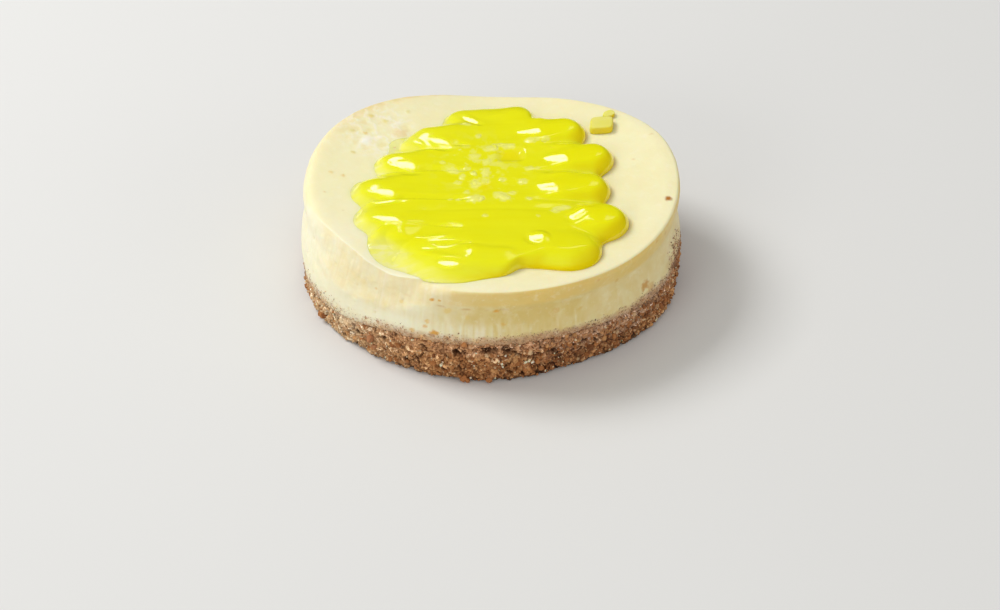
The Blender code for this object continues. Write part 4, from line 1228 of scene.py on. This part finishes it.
def pulp_piece(material):
    """Thin angular flakes that lie just under the gel's skin and break it here and there."""
    rng = np.random.default_rng(8)
    pts, tris = icosphere(3)
    verts, faces, tints = [], [], []
    for n, (x, y, long, wide, turn) in enumerate(PULP):
        corners = rng.normal(size=(9, 3)) * (1.0, 1.0, 0.35)
        corners /= np.linalg.norm(corners, axis=1)[:, None]
        reach = 1.0 / np.maximum((pts @ corners.T).max(axis=1), 0.55)
        shape = pts * np.minimum(reach, 1.45)[:, None] * 0.86
        shape *= 1.0 + 0.10 * perlin(pts * 2.5 + n * 3.1)[:, None]
        shape = shape * (long * 1.1, wide * 1.15, 0.14 + 0.14 * wide)
        tilt, roll = rng.uniform(-0.22, 0.22), rng.uniform(-0.22, 0.22)
        shape = shape @ np.array([[math.cos(tilt), 0, -math.sin(tilt)], [0, 1, 0], [math.sin(tilt), 0, math.cos(tilt)]])
        shape = shape @ np.array([[1, 0, 0], [0, math.cos(roll), math.sin(roll)], [0, -math.sin(roll), math.cos(roll)]])
        shape = shape @ np.array([[math.cos(turn), math.sin(turn), 0], [-math.sin(turn), math.cos(turn), 0], [0, 0, 1]])
        here = float(top_height(np.array([x]), np.array([y]))[0] + gel_surface(np.array([x]), np.array([y]))[0])
        shape += (x, y, here - float(shape[:, 2].max()) + rng.uniform(-0.02, 0.01) + 0.02 * wide)
        verts.append(shape)
        faces.append(tris + n * len(pts))
        tints.append(np.tile(tone((0.92, 0.91, 0.07), (0.94, 0.93, 0.22), rng.random(1)), (len(pts), 1)))
    return new_object("lemon_pulp", np.concatenate(verts), np.concatenate(faces), material, (),
                      {"tint": np.concatenate(tints)})


def stray_piece(name, sizes, node, material, seed, around=56):
    """A loose cushion of gel on the baked top, with worn corners."""
    x, y, length, width, height, square, turn = sizes
    turn = math.radians(turn)
    a = 2.0 * math.pi * (np.arange(around) + 0.5) / around
    c, s = np.cos(a), np.sin(a)
    rows = []
    for share, rise in ((0.55, -0.12), (0.9, -0.12), (0.98, 0.0), (1.0, 0.12), (1.01, 0.3), (1.0, 0.5), (0.985, 0.68), (0.965, 0.80), (0.945, 0.88),
                        (0.91, 0.94), (0.86, 0.975), (0.7, 0.99), (0.48, 1.0), (0.24, 1.0)):
        reach = (np.abs(c) ** square + np.abs(s) ** square) ** (-1.0 / square) * share
        u, v = length * c * reach, width * s * reach
        px = x + u * math.cos(turn) - v * math.sin(turn)
        py = y + u * math.sin(turn) + v * math.cos(turn)
        rows.append(np.stack([px, py, top_height(px, py) + height * rise], axis=1))
    grid = np.stack(rows)
    normal = ring_normals(grid).reshape(-1, 3)
    p = grid.reshape(-1, 3)
    q = p + normal * (0.05 * fractal(p / 1.0 + seed, 2) + 0.10 * perlin(p / 2.4 + seed))[:, None]
    q[:, 2] = np.where(p[:, 2] < top_height(p[:, 0], p[:, 1]) + 0.05, p[:, 2], q[:, 2])
    floor = float(top_height(x, y))
    verts = np.concatenate([[[x, y, floor - 0.1 * height], [x, y, floor + height * 0.98]], q])
    # painted light and shade: faces turned to the right and front, away from the key lamp, go amber, steeper faces
    # deeper, and tops paler
    steep = np.clip(normal[:, 0] * 0.5 - normal[:, 1] * 0.8, 0.0, 1.0)
    depth = np.concatenate([[1.0, 0.6], 0.35 + 0.5 * (1.0 - normal[:, 2])])
    amber = np.concatenate([[0.0, 0.0], 0.95 * steep])
    milky_and_lit = np.concatenate([[0.0, 0.4], 0.45 * np.clip(normal[:, 2], 0.0, 1.0)])
    return new_object(name, verts, loft_faces(len(rows), around), material, (node,),
                      {"depth": depth, "amber": amber, "milky_and_lit": milky_and_lit})


# ---------------------------------------------------------------- the cake
filling_piece(cheese_material())
crumb_piece(crumb_material())
crumb_scatter()
gel = gel_material()
gel_piece(gel)
pulp_piece(pulp_material())
dry_gel = gel_material("dry_gel_look", 0.12)
stray_piece("gel_dice", STRAY_DICE, "stray_gel_dice", dry_gel, 3.0)
stray_piece("gel_bit", STRAY_CRUMB, "stray_gel_bit", dry_gel, 9.0, 36)


# ---------------------------------------------------------------- floor, lights and camera
def floor_piece():
    mesh = bpy.data.meshes.new("floor")
    s = 3.0
    mesh.from_pydata([(-s, -s, 0), (s, -s, 0), (s, s, 0), (-s, s, 0)], [], [(0, 1, 2, 3)])
    obj = bpy.data.objects.new("floor", mesh)
    bpy.context.scene.collection.objects.link(obj)
    g = Graph("floor_look")
    g.set(Base_Color=g.ramp(g.noise(6.0, 3.0), [(0.0, (0.755, 0.76, 0.76)), (1.0, (0.775, 0.78, 0.78))]))
    g.set(Roughness=0.7)
    g.shader.inputs["Specular IOR Level"].default_value = 0.2
    mesh.materials.append(g.material)


def studio_light(name, azimuth, elevation, distance, width, height, watts, colour=(1.0, 1.0, 1.0), diffuse=True, glossy=True, roll=0.0):
    """A rectangular lamp aimed at the cake; distances in metres."""
    lamp = bpy.data.lights.new(name, "AREA")
    lamp.shape = "RECTANGLE"
    lamp.size, lamp.size_y = width, height
    lamp.energy = watts
    lamp.color = colour
    obj = bpy.data.objects.new(name, lamp)
    a, e = math.radians(azimuth), math.radians(elevation)
    away = Vector((math.cos(a) * math.cos(e), math.sin(a) * math.cos(e), math.sin(e)))
    obj.location = away * distance + Vector((0.0, 0.0, 0.015))
    obj.rotation_mode = "QUATERNION"
    turn = away.to_track_quat("Z", "Y")
    obj.rotation_quaternion = turn @ Quaternion((0.0, 0.0, 1.0), math.radians(roll))
    obj.visible_diffuse = diffuse
    obj.visible_glossy = glossy
    bpy.context.scene.collection.objects.link(obj)
    return obj


floor_piece()
studio_light("key", 152.0, 48.0, 1.0, 0.45, 0.4, 6.0, (1.0, 0.99, 0.965), glossy=False)
studio_light("left_fill", -124.0, 22.0, 1.3, 0.6, 0.4, 2.9, (1.0, 0.985, 0.955), glossy=False)
studio_light("right_fill", -30.0, 20.0, 1.3, 0.8, 0.4, 1.45, (1.0, 0.95, 0.86), glossy=False)
studio_light("window", 102.0, 42.0, 0.9, 0.095, 0.08, 0.15, diffuse=False)
studio_light("window_slat", 102.0, 47.2, 0.9, 0.09, 0.018, 0.022, diffuse=False)
studio_light("window_sill", 102.0, 49.6, 0.9, 0.09, 0.012, 0.012, diffuse=False)
studio_light("pale_panel", 79.0, 45.0, 1.2, 0.28, 0.18, 0.13, diffuse=False)

world = bpy.data.worlds.new("studio")
world.use_nodes = True
world.node_tree.nodes["Background"].inputs["Color"].default_value = (1.0, 0.985, 0.955, 1.0)
world.node_tree.nodes["Background"].inputs["Strength"].default_value = 0.52
world.cycles_visibility.glossy = False
bpy.context.scene.world = world

camera_data = bpy.data.cameras.new("camera")
camera_data.lens = 100.0
camera_data.sensor_width = 36.0
camera_data.clip_start, camera_data.clip_end = 0.01, 10.0
camera = bpy.data.objects.new("camera", camera_data)
camera.location = (0.001918, -0.479041, 0.346379)
camera.rotation_euler = (math.radians(90.0 - 36.63), 0.0, 0.0)
bpy.context.scene.collection.objects.link(camera)
bpy.context.scene.camera = camera
bpy.context.scene.view_settings.view_transform = "Standard"
